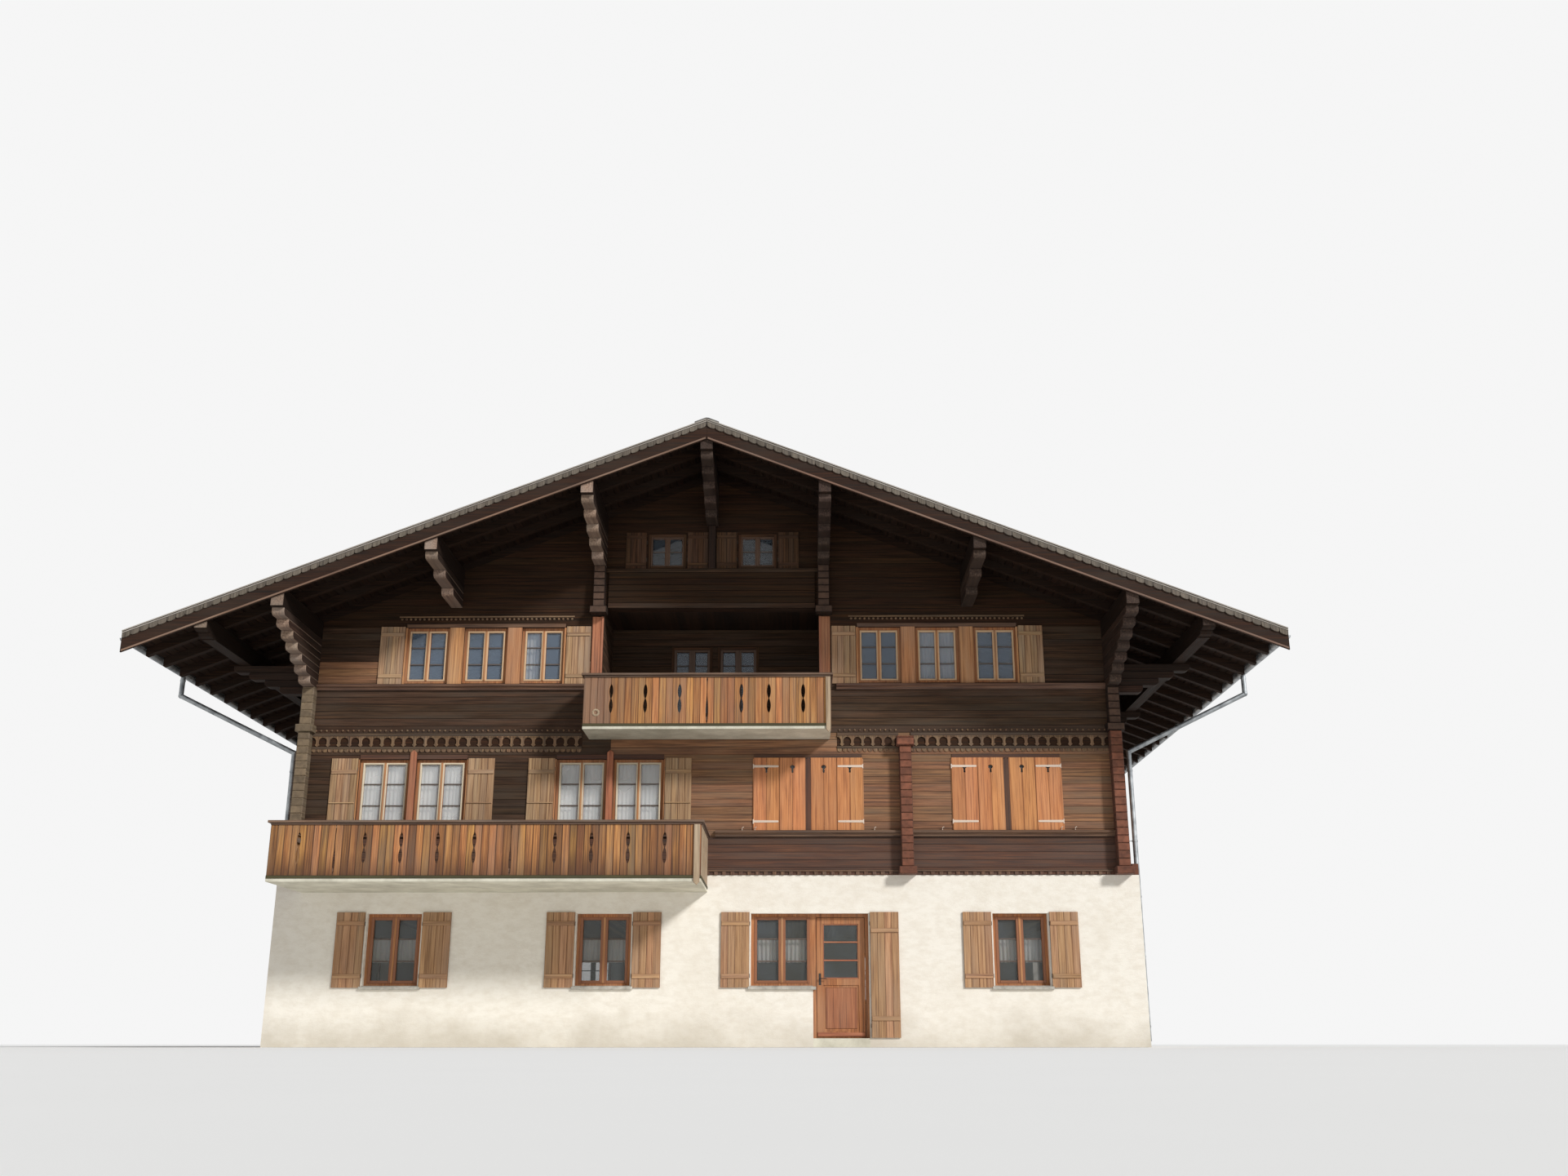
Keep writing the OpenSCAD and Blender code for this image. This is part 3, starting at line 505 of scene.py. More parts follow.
def log_end(name, dark, light):
    """Sawn end grain: year rings about 5 mm apart, drawn at 12 mm so that they show, under a stain in
    blotches about 110 mm wide. Each log has its own tone."""
    finish, add = new_finish(name)
    place = grain_place(add, None)
    rings = add("TexWave", {"Vector": place, "Scale": WAVE / RINGS, "Distortion": 3.0, "Detail": 2.0,
                            "Detail Scale": 0.4}, out=1, wave_type="RINGS", rings_direction="X")
    blotch = add("TexNoise", {"Vector": place, "Scale": 9.0, "Detail": 5.0})
    amount = add("Math", (add("MapRange", (rings, 0.0, 1.0, 0.2, 0.5)), blotch))
    colour = add("ValToRGB", (amount,), [(0.45, dark), (1.05, light)])
    tone = add("SeparateXYZ", (add("Attribute", out="Vector", attribute_name="board"),))
    value = add("MapRange", (tone, 0.0, 1.0, 0.75, 1.2))
    colour = add("HueSaturation", {"Color": colour, "Value": value})
    return surfaced(finish, add, amount, 0.5, 4, {"Base Color": colour, "Roughness": 0.85, "IOR": 1.5})


def lime_plaster(name, pale, shade, dirt):
    """Hand-thrown lime plaster: soft lumps 160 mm wide and 90 mm high, grit of 20 mm and less on them,
    faint stains about 0.9 m wide, and damp dirt near the ground."""
    finish, add = new_finish(name)
    place = add("TexCoord", out="Object")
    wide = add("Mapping", {"Vector": place, "Scale": (per_mm(160), per_mm(160), per_mm(90))})
    lumps = add("TexNoise", {"Vector": wide, "Scale": 1.0, "Detail": 4.0, "Roughness": 0.6})
    grit = add("TexNoise", {"Vector": place, "Scale": per_mm(20), "Detail": 6.0})
    stains = add("TexNoise", {"Vector": place, "Scale": 1.1, "Detail": 5.0})
    shaded = add("MapRange", (lumps, 0.4, 0.7, 0.0, 0.5))
    colour = add("Mix", {0: shaded, 6: pale, 7: shade}, out=2, data_type="RGBA")
    stained = add("MapRange", (stains, 0.5, 0.75, 0.0, 0.35))
    colour = add("Mix", {0: stained, 6: colour, 7: shade}, out=2, data_type="RGBA")
    height = add("SeparateXYZ", (place,), out=2)
    rise = add("Math", (height, stains), operation="SUBTRACT")
    damp = add("MapRange", (rise, -0.55, 0.1, 0.5, 0.0))
    colour = add("Mix", {0: damp, 6: colour, 7: dirt}, out=2, data_type="RGBA")
    relief = add("Mix", {0: 0.3, 6: lumps, 7: grit}, out=2, data_type="RGBA")
    return surfaced(finish, add, relief, 0.7, 12, {"Base Color": colour, "Roughness": 0.92, "IOR": 1.5})


def mineral(name, dark, light, grain):
    """Cast concrete, cut stone or roofing felt: clouds as wide as its grain in mm, and fine pits."""
    finish, add = new_finish(name)
    place = add("TexCoord", out="Object")
    clouds = add("TexNoise", {"Vector": place, "Scale": per_mm(grain), "Detail": 7.0, "Roughness": 0.65})
    pits = add("TexNoise", {"Vector": place, "Scale": 12 * per_mm(grain), "Detail": 3.0})
    colour = add("ValToRGB", (clouds,), [(0.35, dark), (0.65, light)])
    return surfaced(finish, add, pits, 0.4, 2, {"Base Color": colour, "Roughness": 0.85, "IOR": 1.5})


def slate(name, dark, mid, light, lichen):
    """Split fibre slates: each has its own grey, with pale bloom in drifts about 1.2 m wide and spots
    of lichen about 70 mm wide over them."""
    finish, add = new_finish(name)
    place = add("TexCoord", out="Object")
    tone = add("SeparateXYZ", (add("Attribute", out="Vector", attribute_name="board"),))
    colour = add("ValToRGB", (tone,), [(0.0, dark), (0.5, mid), (1.0, light)])
    bloom = add("TexNoise", {"Vector": place, "Scale": 0.8, "Detail": 7.0, "Roughness": 0.7})
    paled = add("MapRange", (bloom, 0.45, 0.75, 0.0, 0.5))
    colour = add("Mix", {0: paled, 6: colour, 7: light}, out=2, data_type="RGBA")
    spots = add("TexNoise", {"Vector": place, "Scale": 14.0, "Detail": 4.0})
    grown = add("MapRange", (spots, 0.62, 0.72, 0.0, 0.6))
    colour = add("Mix", {0: grown, 6: colour, 7: lichen}, out=2, data_type="RGBA")
    return surfaced(finish, add, spots, 0.4, 3, {"Base Color": colour, "Roughness": 0.8, "IOR": 1.5})


def sheet_zinc(name, dull, bright):
    """Rolled zinc that has weathered: a soft metal sheen under a grey skin in patches about 170 mm
    wide."""
    finish, add = new_finish(name)
    patches = add("TexNoise", {"Vector": add("TexCoord", out="Object"), "Scale": 6.0, "Detail": 6.0})
    colour = add("ValToRGB", (patches,), [(0.35, dull), (0.65, bright)])
    roughness = add("MapRange", (patches, 0.3, 0.7, 0.42, 0.6))
    return surfaced(finish, add, patches, 0.2, 2, {
        "Base Color": colour, "Metallic": 0.85, "Roughness": roughness})


def painted(name, colour, worn, rough=0.5):
    """Oil paint on wood or iron: a thin even coat that has dulled and worn through in specks of 20 mm
    and less."""
    finish, add = new_finish(name)
    place = add("TexCoord", out="Object")
    wear = add("TexNoise", {"Vector": place, "Scale": per_mm(20), "Detail": 6.0, "Roughness": 0.7})
    bare = add("MapRange", (wear, 0.55, 0.75, 0.0, 0.75))
    coat = add("Mix", {0: bare, 6: colour, 7: worn}, out=2, data_type="RGBA")
    return surfaced(finish, add, wear, 0.2, 1, {"Base Color": coat, "Roughness": rough, "IOR": 1.5})


def window_pane(name, blooms):
    """Drawn glass, faintly wavy over 0.4 m. Its colour is a painted reflection of the sky, and the room
    shows through. blooms gives each storey's, by the heights between which its panes lie."""
    finish, add = new_finish(name)
    place = add("TexCoord", out="Object")
    waves = add("TexNoise", {"Vector": place, "Scale": 2.5, "Detail": 2.0})
    height = add("MapRange", (add("SeparateXYZ", (place,), out=2), 0.0, ridge_z))
    # Each storey's colour here is a painted reflection
    stops = [(z / ridge_z, bloom) for heights, bloom in blooms.items() for z in heights]
    colour = add("ValToRGB", (height,), stops)
    # Painted sky reflection in soft patches
    sky = add("MapRange", (waves, 0.3, 0.7, 0.0, 0.3))
    colour = add("Mix", {0: sky, 6: colour, 7: "#8795A3"}, out=2, data_type="RGBA")
    return surfaced(finish, add, waves, 0.15, 10, {
        "Base Color": colour, "Roughness": 0.03, "IOR": 1.5, "Specular IOR Level": 1.0, "Alpha": 0.3})


def net_cloth(name, pale, shade):
    """Cotton net: open weave with threads about 1 mm apart, drawn at 6 mm so that it shows."""
    finish, add = new_finish(name)
    threads = {"Vector": grain_place(add, None), "Scale": WAVE / THREADS}
    weave, weft = (add("TexWave", threads, out=1, bands_direction=axis) for axis in "XY")
    knots = add("Math", (weave, weft), operation="MULTIPLY")
    colour = add("Mix", {0: knots, 6: shade, 7: pale}, out=2, data_type="RGBA")
    return surfaced(finish, add, knots, 0.3, 1, {
        "Base Color": colour, "Roughness": 0.9, "IOR": 1.5, "Subsurface Weight": 0.1})


def floor_boards(name, dark, light):
    """Planed floor boards 140 mm wide that run from front to back, with a dark joint between them."""
    finish, add = new_finish(name)
    place = grain_place(add, "Y")
    strip = add("Math", (add("SeparateXYZ", (place,), out=1), per_mm(140)), operation="MULTIPLY")
    within = add("Math", (strip,), operation="FRACT")
    number = add("Math", (strip,), operation="FLOOR")
    tone = add("TexWhiteNoise", {"W": number}, out="Value", noise_dimensions="1D")
    long = add("Mapping", {"Vector": place, "Scale": (1.0, 30.0, 30.0)})
    streaks = add("TexNoise", {"Vector": long, "Scale": 1.0, "Detail": 5.0})
    amount = add("Math", (streaks, add("MapRange", (tone, 0.0, 1.0, -0.2, 0.2))))
    colour = add("ValToRGB", (amount,), [(0.25, dark), (0.75, light)])
    joint = add("MapRange", (within, 0.0, 0.04, 1.0, 0.0))
    colour = add("Mix", {0: joint, 6: colour, 7: dark}, out=2, data_type="RGBA")
    return surfaced(finish, add, streaks, 0.2, 2, {"Base Color": colour, "Roughness": 0.6, "IOR": 1.5})


PLASTER = lime_plaster("rough lime plaster", "#F1EBDF", "#DDD3C2", "#A79C88")
CONCRETE = mineral("painted concrete edge", "#B9B4A2", "#DCD8C6", 500)
STONE = mineral("cut sandstone sill", "#9B968C", "#C2BDB2", 120)
UNDERLAY = mineral("roof battens and felt", "#3A3632", "#57524C", 300)
SLATE = slate("split roof slates", "#4E4B48", "#6A6764", "#8B8783", "#8C8D72")
ZINC = sheet_zinc("weathered rolled zinc", "#7E8285", "#B4B8BA")
NET = net_cloth("cotton net", "#F4F1EA", "#CFCBC4")
INSIDE_BOARDS = floor_boards("planed floor boards", "#6B5038", "#A7845F")
# Near-black boards under the attic floor: painted shade in the loggia
SMOKED_BOARDS = floor_boards("smoked ceiling boards", "#1A110C", "#3A271B")
# Painted reflections by storey: dark low down, near white in the first storey, sky blue above, dark in the
# attic
PANE = window_pane("drawn window glass", {
    (1.0, 2.3): "#55564E", (3.7, 5.1): "#F2F5F6", (6.4, 7.7): "#7E90A6", (8.7, 9.5): "#474C52"})

# Walls and their log ends
# The upper walls' logs: dark wood, and above the second storey's sills painted shade of the eaves
DARK_LOGS = timber("smoke-dark spruce logs", "#22170F", "#412E21", "#5C4231", "#50443A", spread=0.16,
                   gloss=0.2)
# The gable's logs, also on the parapet and behind the frieze, are near black: painted shade
GABLE_LOGS = timber("smoke-black gable logs", "#1A1009", "#342115", "#4B301F", "#382B20", greying=0.4,
                    spread=0.14, gloss=0.15)
HOUSE_LOGS = timber("sun-browned spruce logs", "#462E1F", "#7F563A", "#A87956", "#7E6752", greying=0.55,
                    spread=0.16)
BAND_LOGS = timber("rain-darkened sill logs", "#28170F", "#4E3021", "#6C4631", "#55443A", greying=0.5,
                   spread=0.16)
WALL_CORE = {axis: timber("log wall core " + axis, "#1E140F", "#3A271D", "#523828", "#40342C", along=axis,
                          gloss=0.2) for axis in "XY"}
LOG_ENDS = log_end("red-stained log ends", "#3A2015", "#83503A")
# Log ends darkened as painted shade, on the attic's columns and under the roof
DARK_ENDS = log_end("smoked log ends", "#251811", "#5C4435")
PALE_ENDS = log_end("weathered log ends", "#4B3F31", "#7D6B54")
COLUMN_WOOD = timber("red-stained column logs", "#351D13", "#673A28", "#86523C", "#6E4F3E", greying=0.4,
                     spread=0.14)
PALE_LOGS = timber("weathered column logs", "#4A3C2E", "#7B6850", "#99846A", "#857664", spread=0.14)
# Console noses: pale on the left as painted sunlight, dark on the right as painted shade
CONSOLE_WOOD = timber("bleached console noses", "#56443A", "#8A715F", "#AB937F", "#8F8175", greying=0.7,
                      spread=0.2)
SMOKED_NOSES = timber("smoked console noses", "#231914", "#40312A", "#5C4B40", "#4C4039", spread=0.2,
                      gloss=0.2)
# The consoles' sides and the eave brackets are dark: painted shade
BRACKET_WOOD = timber("smoke-dark bracket logs", "#1A110C", "#30211A", "#463126", "#3A3029", greying=0.5,
                      gloss=0.2)

# Roof timber
# The roof's timbers and boards underneath are near black: painted shade under the eaves
RAFTER_WOOD = timber("dark roof timber", "#140D09", "#271911", "#3A271B", "#2E251F", along="X", gloss=0.15)
PURLIN_WOOD = timber("dark purlin timber", "#140D09", "#271911", "#3A271B", "#2E251F", spread=0.15,
                     gloss=0.15)
SOFFIT_WOOD = timber("smoked soffit boards", "#130C08", "#221610", "#332219", "#28201B", spread=0.15,
                     gloss=0.1)
BARGE_WOOD = timber("weathered bargeboard", "#18100B", "#2E1D14", "#442C20", "#3C3129", along="X",
                    gloss=0.2)
BARGE_EDGE = timber("bargeboard moulding", "#4C352A", "#745646", "#90705E", "#806C5F")
VERGE_WOOD = timber("grey-brown verge shingles", "#332B24", "#5C5247", "#7F7568", "#736A5F", spread=0.16)
VERGE_EDGE = timber("silver-grey verge laths", "#6B6259", "#9B9288", "#BEB6AC", "#ABA49B", spread=0.05)

# Balconies
BALCONY_WOOD = timber("sun-burnt balcony boards", "#5A331C", "#AC6F42", "#CE9661", "#8D6F57", greying=0.8,
                      streak=20, turn=(0.496, 0.512), arris=0.7)
LOWER_BALCONY_WOOD = timber("rain-worn balcony boards", "#45291A", "#9C663A", "#C68F56", "#7C6450",
                            greying=0.75, spread=0.4, streak=20, turn=(0.494, 0.512), arris=0.85,
                            foot=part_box("lower_balcony_boards")[0].z)
WORN_WOOD = timber("rain-greyed balcony boards", "#4A3427", "#825D44", "#A17B5E", "#866B57", greying=0.7,
                   spread=0.22, streak=20, arris=0.7)
BLEACHED_WOOD = timber("sun-bleached corner boards", "#6A5543", "#A18A71", "#C2AC92", "#A89984",
                       spread=0.12, streak=20)
# A dark board at the boards' foot: painted shadow of the boards on the slab's edge
SOLE_WOOD = timber("moss-dark sole board", "#28240F", "#403A20", "#57502F", "#4A462E", spread=0.08)
RAIL_WOOD = timber("grey-brown handrail", "#3C2B21", "#6E5240", "#917462", "#7E6E62")

# Frames, sashes, sills and carved work
FRAME_WOOD = timber("oiled larch frames", "#6B3F24", "#A4683F", "#C58A5B", "#A8866A", along="Z",
                    greying=0.4)
POST_WOOD = timber("oiled larch posts", "#7E4F30", "#B87C52", "#D29B6C", "#A88A70", greying=0.5,
                   spread=0.12)
RED_WOOD = timber("red-brown jambs", "#6B3B28", "#A9684A", "#C08260", "#9A7862", greying=0.35, spread=0.12)
SILL_WOOD = timber("browned sill boards", "#33211A", "#614332", "#80604A", "#6C5A4E", greying=0.5,
                   spread=0.14)
CARVED = timber("carved frieze boards", "#3A281C", "#6E5139", "#98785A", "#7C6A56", greying=0.5,
                spread=0.16)
FRIEZE_RAIL = timber("smoke-browned frieze rails", "#281C14", "#4B3828", "#6A5340", "#58493C", greying=0.5)
SASH_WOOD = painted("cream oil paint on sashes", "#DCCDB2", "#A77F58")
SASH_TAN = painted("pale tan oil paint on sashes", "#D6B38C", "#A2734C")
SASH_BROWN = painted("brown oil paint on sashes", "#8C5A3C", "#5E3A26")
SASH_DARK = painted("dark oil paint on sashes", "#59402E", "#38281D")
BAR_WOOD = painted("weathered glazing bars", "#5C5048", "#8A7868")

# Shutters and ironwork
TAN_SHUTTER = timber("sun-worn tan shutters", "#6B4B34", "#A8825F", "#C4A17B", "#A5937F", spread=0.14,
                     greying=0.5)
ORANGE_SHUTTER = timber("oiled orange shutters", "#844D2B", "#C17E4D", "#D99966", "#B48868", spread=0.1,
                        greying=0.35, turn=(0.496, 0.506))
BROWN_SHUTTER = timber("brown stained shutters", "#744F36", "#AB7F5B", "#C69D78", "#A88D76", spread=0.14,
                       greying=0.5)
# Attic shutters and the attic's and loggia's facings: near black as painted shade under the roof
DARK_SHUTTER = timber("smoke-dark attic shutters", "#291A11", "#4F3625", "#684934", "#50423A", spread=0.14,
                      greying=0.4, gloss=0.2)
PALE_IRON = painted("pale painted strap iron", "#D9C6B4", "#8A6A56", rough=0.45)
DARK_IRON = painted("black forged iron", "#2B2826", "#5A4A3E")

NODE_FINISHES = (
    (PLASTER, ("ground_front_wall_left", "ground_front_wall_right", "ground_front_lintel",
               "ground_left_wall", "ground_right_wall", "ground_back_wall")),
    (CONCRETE, ("ground_floor", "upper_balcony_slab", "lower_balcony_slab")),
    (INSIDE_BOARDS, ("first_floor", "second_floor")),
    (SMOKED_BOARDS, ("attic_floor",)),
    (WALL_CORE["X"], ("log_front_wall_first", "log_front_wall_second", "log_back_wall", "front_gable",
                      "back_gable", "loggia_walls")),
    (WALL_CORE["Y"], ("log_left_wall", "log_right_wall")),
    (PURLIN_WOOD, ("purlins",)),
    (RAFTER_WOOD, ("rafters",)),
    (BARGE_WOOD, ("bargeboards",)),
    (ZINC, ("gutters", "downpipes")),
    (FRAME_WOOD, ("ground_window_frames", "log_window_frames", "door_frame", "door_leaf")),
    (PANE, ("window_glass", "door_glass")),
)
for finish, nodes in NODE_FINISHES:
    for node in nodes:
        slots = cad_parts[node].data.materials
        slots.clear()
        slots.append(finish)


# Log faces over the CAD walls

# A joint closer than this to a course's edge is left out
SLIVER = 0.004
# Courses of rain-darkened logs over the plaster
BAND_COURSES = 5
# How far the gable's logs in painted shade reach down under the attic floor
GABLE_DROP = 0.4
# How far the loggia's back logs stand in front of its door frames
LINING_OUT = 0.02


def log_profile(out, z0, z1, low, high):
    """The face of one log, with its arrises eased where it meets the next course."""
    points = [(out, z0)]
    points += [(out + FACE_T - JOINT, z0), (out + FACE_T, z0 + JOINT)] if low else [(out + FACE_T, z0)]
    points += [(out + FACE_T, z1 - JOINT), (out + FACE_T - JOINT, z1)] if high else [(out + FACE_T, z1)]
    return points + [(out, z1)]


def clad(piece, side, out, ends, z0, z1, holes=(), slot_at=lambda z: 0):
    """Lays log courses on a wall, around its holes. ends gives functions of height, or numbers."""
    first, last = (e if callable(e) else (lambda z, e=e: e) for e in ends)
    start = wood_z + math.floor((z0 - wood_z) / COURSE + 1e-6) * COURSE
    while start < z1 - SLIVER:
        low, high = max(start, z0), min(start + COURSE, z1)
        tone = draw.random()
        edges = [z for hole in holes for z in hole[2:] if low + SLIVER < z < high - SLIVER]
        cuts = sorted({low, high, *edges})
        for a, b in zip(cuts, cuts[1:]):
            barred = sorted(h[:2] for h in holes if h[2] < b - 1e-4 and h[3] > a + 1e-4
                            and first(a) < h[0] and h[1] < last(a))
            profile = log_profile(out, a, b, a == low, b == high)
            left = first
            for u0, u1 in barred + [(None, None)]:
                right = last if u0 is None else (lambda z, u=u0: u)
                if right(b) - left(b) > 0.01:
                    piece.run(side, left, right, profile, tone, slot_at(a))
                left = None if u1 is None else (lambda z, u=u1: u)
        start += COURSE


def roof_end(z):
    """How far from the middle the gable's logs reach at a height."""
    return min(log_x, (rafters_under(0) - z) / SLOPE)


def tint(z):
    """The wall's finish by height: dark sill logs, browned logs, dark logs that are partly painted shade
    of the eaves, then the gable's logs in painted shade.
    """
    limits = (wood_z + BAND_COURSES * COURSE - 0.01, second_z - 0.02, attic_under_z - GABLE_DROP)
    return sum(z >= limit for limit in limits)


def left_tint(z):
    """The same left of the front's middle: dark logs, but over the upper sill a band of browned logs as
    painted sunlight.
    """
    sill = front_windows("second")[0].z0 - FRAME_B
    # The three courses over the sill are painted sunlight below the roof's shadow
    return 1 if sill < z < sill + 3 * COURSE else max(tint(z), 2 * (tint(z) > 0))


def openings_on(side, storeys):
    return [(w.left, w.right, w.z0, w.z1) for w in windows if w.side == side and w.storey in storeys]


LOG_FINISHES = (BAND_LOGS, HOUSE_LOGS, DARK_LOGS, GABLE_LOGS)


def gable_faces(side):
    """The courses of the front or the back. The front's left half is darker, with a band of painted
    sunlight over its upper sill, and the loggia opens in its second storey."""
    left_end, right_end = (lambda z: -roof_end(z)), roof_end
    first_row = front_windows("first")
    middle = (first_row[2].u + first_row[3].u) / 2
    stretches = {
        FRONT: [(-log_x, middle, wood_z, second_z, left_tint),
                (middle, log_x, wood_z, second_z, tint),
                (left_end, -loggia_x, second_z, attic_under_z, left_tint),
                (loggia_x, right_end, second_z, attic_under_z, tint)],
        BACK: [(-log_x, log_x, wood_z, second_z, tint),
               (left_end, right_end, second_z, attic_under_z, tint)],
    }[side] + [(left_end, right_end, attic_under_z, rafters_under(0.3), tint)]
    face = Piece()
    for left, right, z0, z1, slot_at in stretches:
        clad(face, side, front_y, (left, right), z0, z1, openings_on(side, UPPER), slot_at)
    face.make(SIDES[side] + "_log_faces", LOG_FINISHES, "old_logs")


def side_faces(side):
    face = Piece()
    clad(face, side, log_x, (-front_y, front_y), wood_z, plate_z, openings_on(side, UPPER), tint)
    face.make(SIDES[side] + "_log_faces", LOG_FINISHES, "old_logs")


def loggia_faces():
    lining = Piece()
    back = max(w.face for w in windows if w.storey == "loggia") + LINING_OUT
    clad(lining, FRONT, back, (-loggia_x, loggia_x), second_z, attic_under_z,
         openings_on(FRONT, ("loggia",)))
    for side in (LEFT, RIGHT):
        clad(lining, side, -loggia_x, forward(side, back, front_y), second_z, attic_under_z)
    # The loggia's lining is dark: painted shade in its recess
    lining.make("loggia_log_faces", (DARK_LOGS,), "old_logs")


gable_faces(FRONT)
gable_faces(BACK)
side_faces(LEFT)
side_faces(RIGHT)
loggia_faces()


# Columns of log ends, consoles and brackets

RIDGE_POST_HALF = 0.07
RIDGE_POST_OUT = 0.11
# Half of the open joint between two log ends, and how unevenly they were sawn
COURSE_GAP = 0.002
END_UNEVEN = 0.008
END_EASED = 0.012
# How deep and how high a console's nose is rounded
NOSE_D = 0.09
NOSE_H = 0.075
# Steps of the consoles under each purlin
CONSOLE_STEPS = {ridge_x: 5, attic_x: 5, slope_x: 3, corner_x: 7}
BRACKET_STEPS = 4


def end_column(piece, side, u, z0, z1, feet=()):
    """Stacked log ends. Each block's front is end grain, and a foot or a cap is one step wider."""
    z = z0
    while z < z1 - 0.01:
        top = min(z + COURSE, z1)
        wide = FOOT_OUT if any(a <= (z + top) / 2 <= b for a, b in feet) else 0.0
        reach = front_y + COLUMN_OUT + wide - draw.uniform(0.0, END_UNEVEN)
        half = LOG_W / 2 + wide
        piece.board_on(side, u - half, u + half, z + COURSE_GAP, top - COURSE_GAP, front_y, reach,
                       END_EASED, along=2, front=1)
        z = top


def columns():
    """The same columns as the CAD model's, in courses of logs."""
    stack, pale, smoked = Piece(), Piece(), Piece()
    corner_top = plate_z - 7 * COURSE
    cross_top = second_z - FOOT_H / 2
    attic_foot = attic_under_z - COURSE
    attic_top = purlin_under(attic_x) - 5 * COURSE
    for side in (FRONT, BACK):
        for u in (-corner_x, corner_x):
            # The right column's upper part and the attic's columns are dark: painted shade under the roof
            reddened = side == FRONT and u > 0
            foot, head = (stack, smoked) if reddened else (pale, pale)
            end_column(foot, side, u, wood_z, second_z, [(wood_z, wood_z + FOOT_H)])
            end_column(head, side, u, second_z, corner_top, [(second_z, second_z + FOOT_H)])
            inner, outer = sorted((math.copysign(plaster_x, u), math.copysign(log_x + FOOT_OUT, u)))
            foot.board_on(side, inner, outer, wood_z, wood_z + FOOT_H, front_y - LOG_W, front_y, 0.01,
                          along=2, front=1)
        end_column(stack, side, cross_x if side == FRONT else -cross_x, wood_z, cross_top,
                   [(wood_z, wood_z + FOOT_H), (cross_top - FOOT_H, cross_top)])
        for u in (-attic_x, attic_x):
            end_column(smoked, side, u, attic_foot, attic_top, [(attic_foot, attic_foot + FOOT_H)])
    smoked.board_on(FRONT, -RIDGE_POST_HALF, RIDGE_POST_HALF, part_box("attic_parapet")[1].z,
                    purlin_under(0) - 5 * COURSE, front_y, front_y + RIDGE_POST_OUT, END_EASED)
    stack.make("log_end_columns", (COLUMN_WOOD, LOG_ENDS), "old_logs", replaces=("log_columns",))
    pale.make("weathered_columns", (PALE_LOGS, PALE_ENDS), "old_logs")
    smoked.make("attic_columns", (BRACKET_WOOD, DARK_ENDS), "old_logs")


def console(piece, side, u, top, steps, reach, base):
    """Stepped log ends under a purlin. Each nose is rounded off below and shows end grain."""
    for i in range(steps):
        z1 = top - i * COURSE - COURSE_GAP
        z0 = z1 - COURSE + 2 * COURSE_GAP
        tip = base + COLUMN_OUT + (reach - COLUMN_OUT) * (steps - i) / steps - draw.uniform(0, 0.01)
        nose = arc(tip - NOSE_D, z0 + NOSE_H, NOSE_D, NOSE_H, -90, 0, 5)
        outline = [(base, z1), (base, z0)] + nose + [(tip, z1)]
        # The sides take the second finish, dark as painted shade
        piece.slab(outline, lambda s, t, d: at(side, u - LOG_W / 2 + d, s, t), LOG_W, 0.008, both=True,
                   along=0, front=1)


def consoles():
    """Consoles under the purlins of both gables, and brackets under the eave purlins. The left consoles'
    noses are pale as painted sunlight, the others' dark as painted shade, and all sides painted shade.
    """
    pale, smoked, arms = Piece(), Piece(), Piece()
    for side in (FRONT, BACK):
        for x, steps in CONSOLE_STEPS.items():
            for u in sorted({-x, x}):
                console(pale if u < 0 else smoked, side, u, purlin_under(x), steps, console_reach, front_y)
    for side in (LEFT, RIGHT):
        for u in bracket_ys:
            console(arms, side, u, purlin_under(eave_purlin_x), BRACKET_STEPS, bracket_reach, log_x)
    pale.make("stepped_consoles", (CONSOLE_WOOD, BRACKET_WOOD), "old_logs", replaces=("consoles",))
    smoked.make("smoked_consoles", (SMOKED_NOSES, BRACKET_WOOD), "old_logs")
    arms.make("stepped_brackets", (BRACKET_WOOD, BRACKET_WOOD), "old_logs", replaces=("side_brackets",))


# The underside of a purlin's end: how far back from its tip, and how high over its underside
PURLIN_LOBES = [(0.0, 0.115), (0.05, 0.085), (0.12, 0.07), (0.19, 0.085), (0.20, 0.055), (0.25, 0.02),
                (0.33, 0.005), (0.41, 0.025), (0.42, 0.0)]
PURLIN_SQUARE = [(0.0, 0.012), (0.012, 0.0)]


def purlins():
    """Purlins with tops cut to the roof. The eave ones end in two carved lobes, the others square."""
    beams = Piece()
    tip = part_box("purlins")[1].y
    for x in purlin_xs:
        x0, x1 = x - PURLIN_W / 2, x + PURLIN_W / 2
        low = purlin_under(x)
        cut = PURLIN_LOBES if abs(x) > log_x else PURLIN_SQUARE
        half = [(tip - back, low + rise) for back, rise in cut]
        stations = [(-y, z) for y, z in half] + half[::-1]
        tops = [(x0, rafters_under(x0) - 0.0005), (x1, rafters_under(x1) - 0.0005)]
        if x == ridge_x:
            tops = [(x0, rafters_under(x0)), (x, rafters_under(x) - 0.0005), (x1, rafters_under(x1))]
        points = []
        for y, z in stations:
            points += [(x1, y, z), (x0, y, z)] + [(a, y, b) for a, b in tops]
        faces = capped(len(stations), 2 + len(tops))
        middle = (low + tops[0][1]) / 2
        # The ends take the consoles' finishes: painted sunlight on the left, painted shade on the right
        beams.solid(points, faces, [(y, a - x, z - middle) for a, y, z in points],
                    [2 * (a - x) / PURLIN_W for a, y, z in points],
                    [1 if x < 0 else 2] * 2 + [0] * (len(faces) - 2))
    beams.make("shaped_purlins", (PURLIN_WOOD, CONSOLE_WOOD, SMOKED_NOSES), "roof_timber",
               replaces=("purlins",))


columns()
consoles()
purlins()


# Roof

SOFFIT_W = 0.14
SLATE_W = 0.32
SLATE_STEP = 0.235
SLATE_LAP = 0.07
SLATE_T = 0.009
SLATE_GAP = 0.002
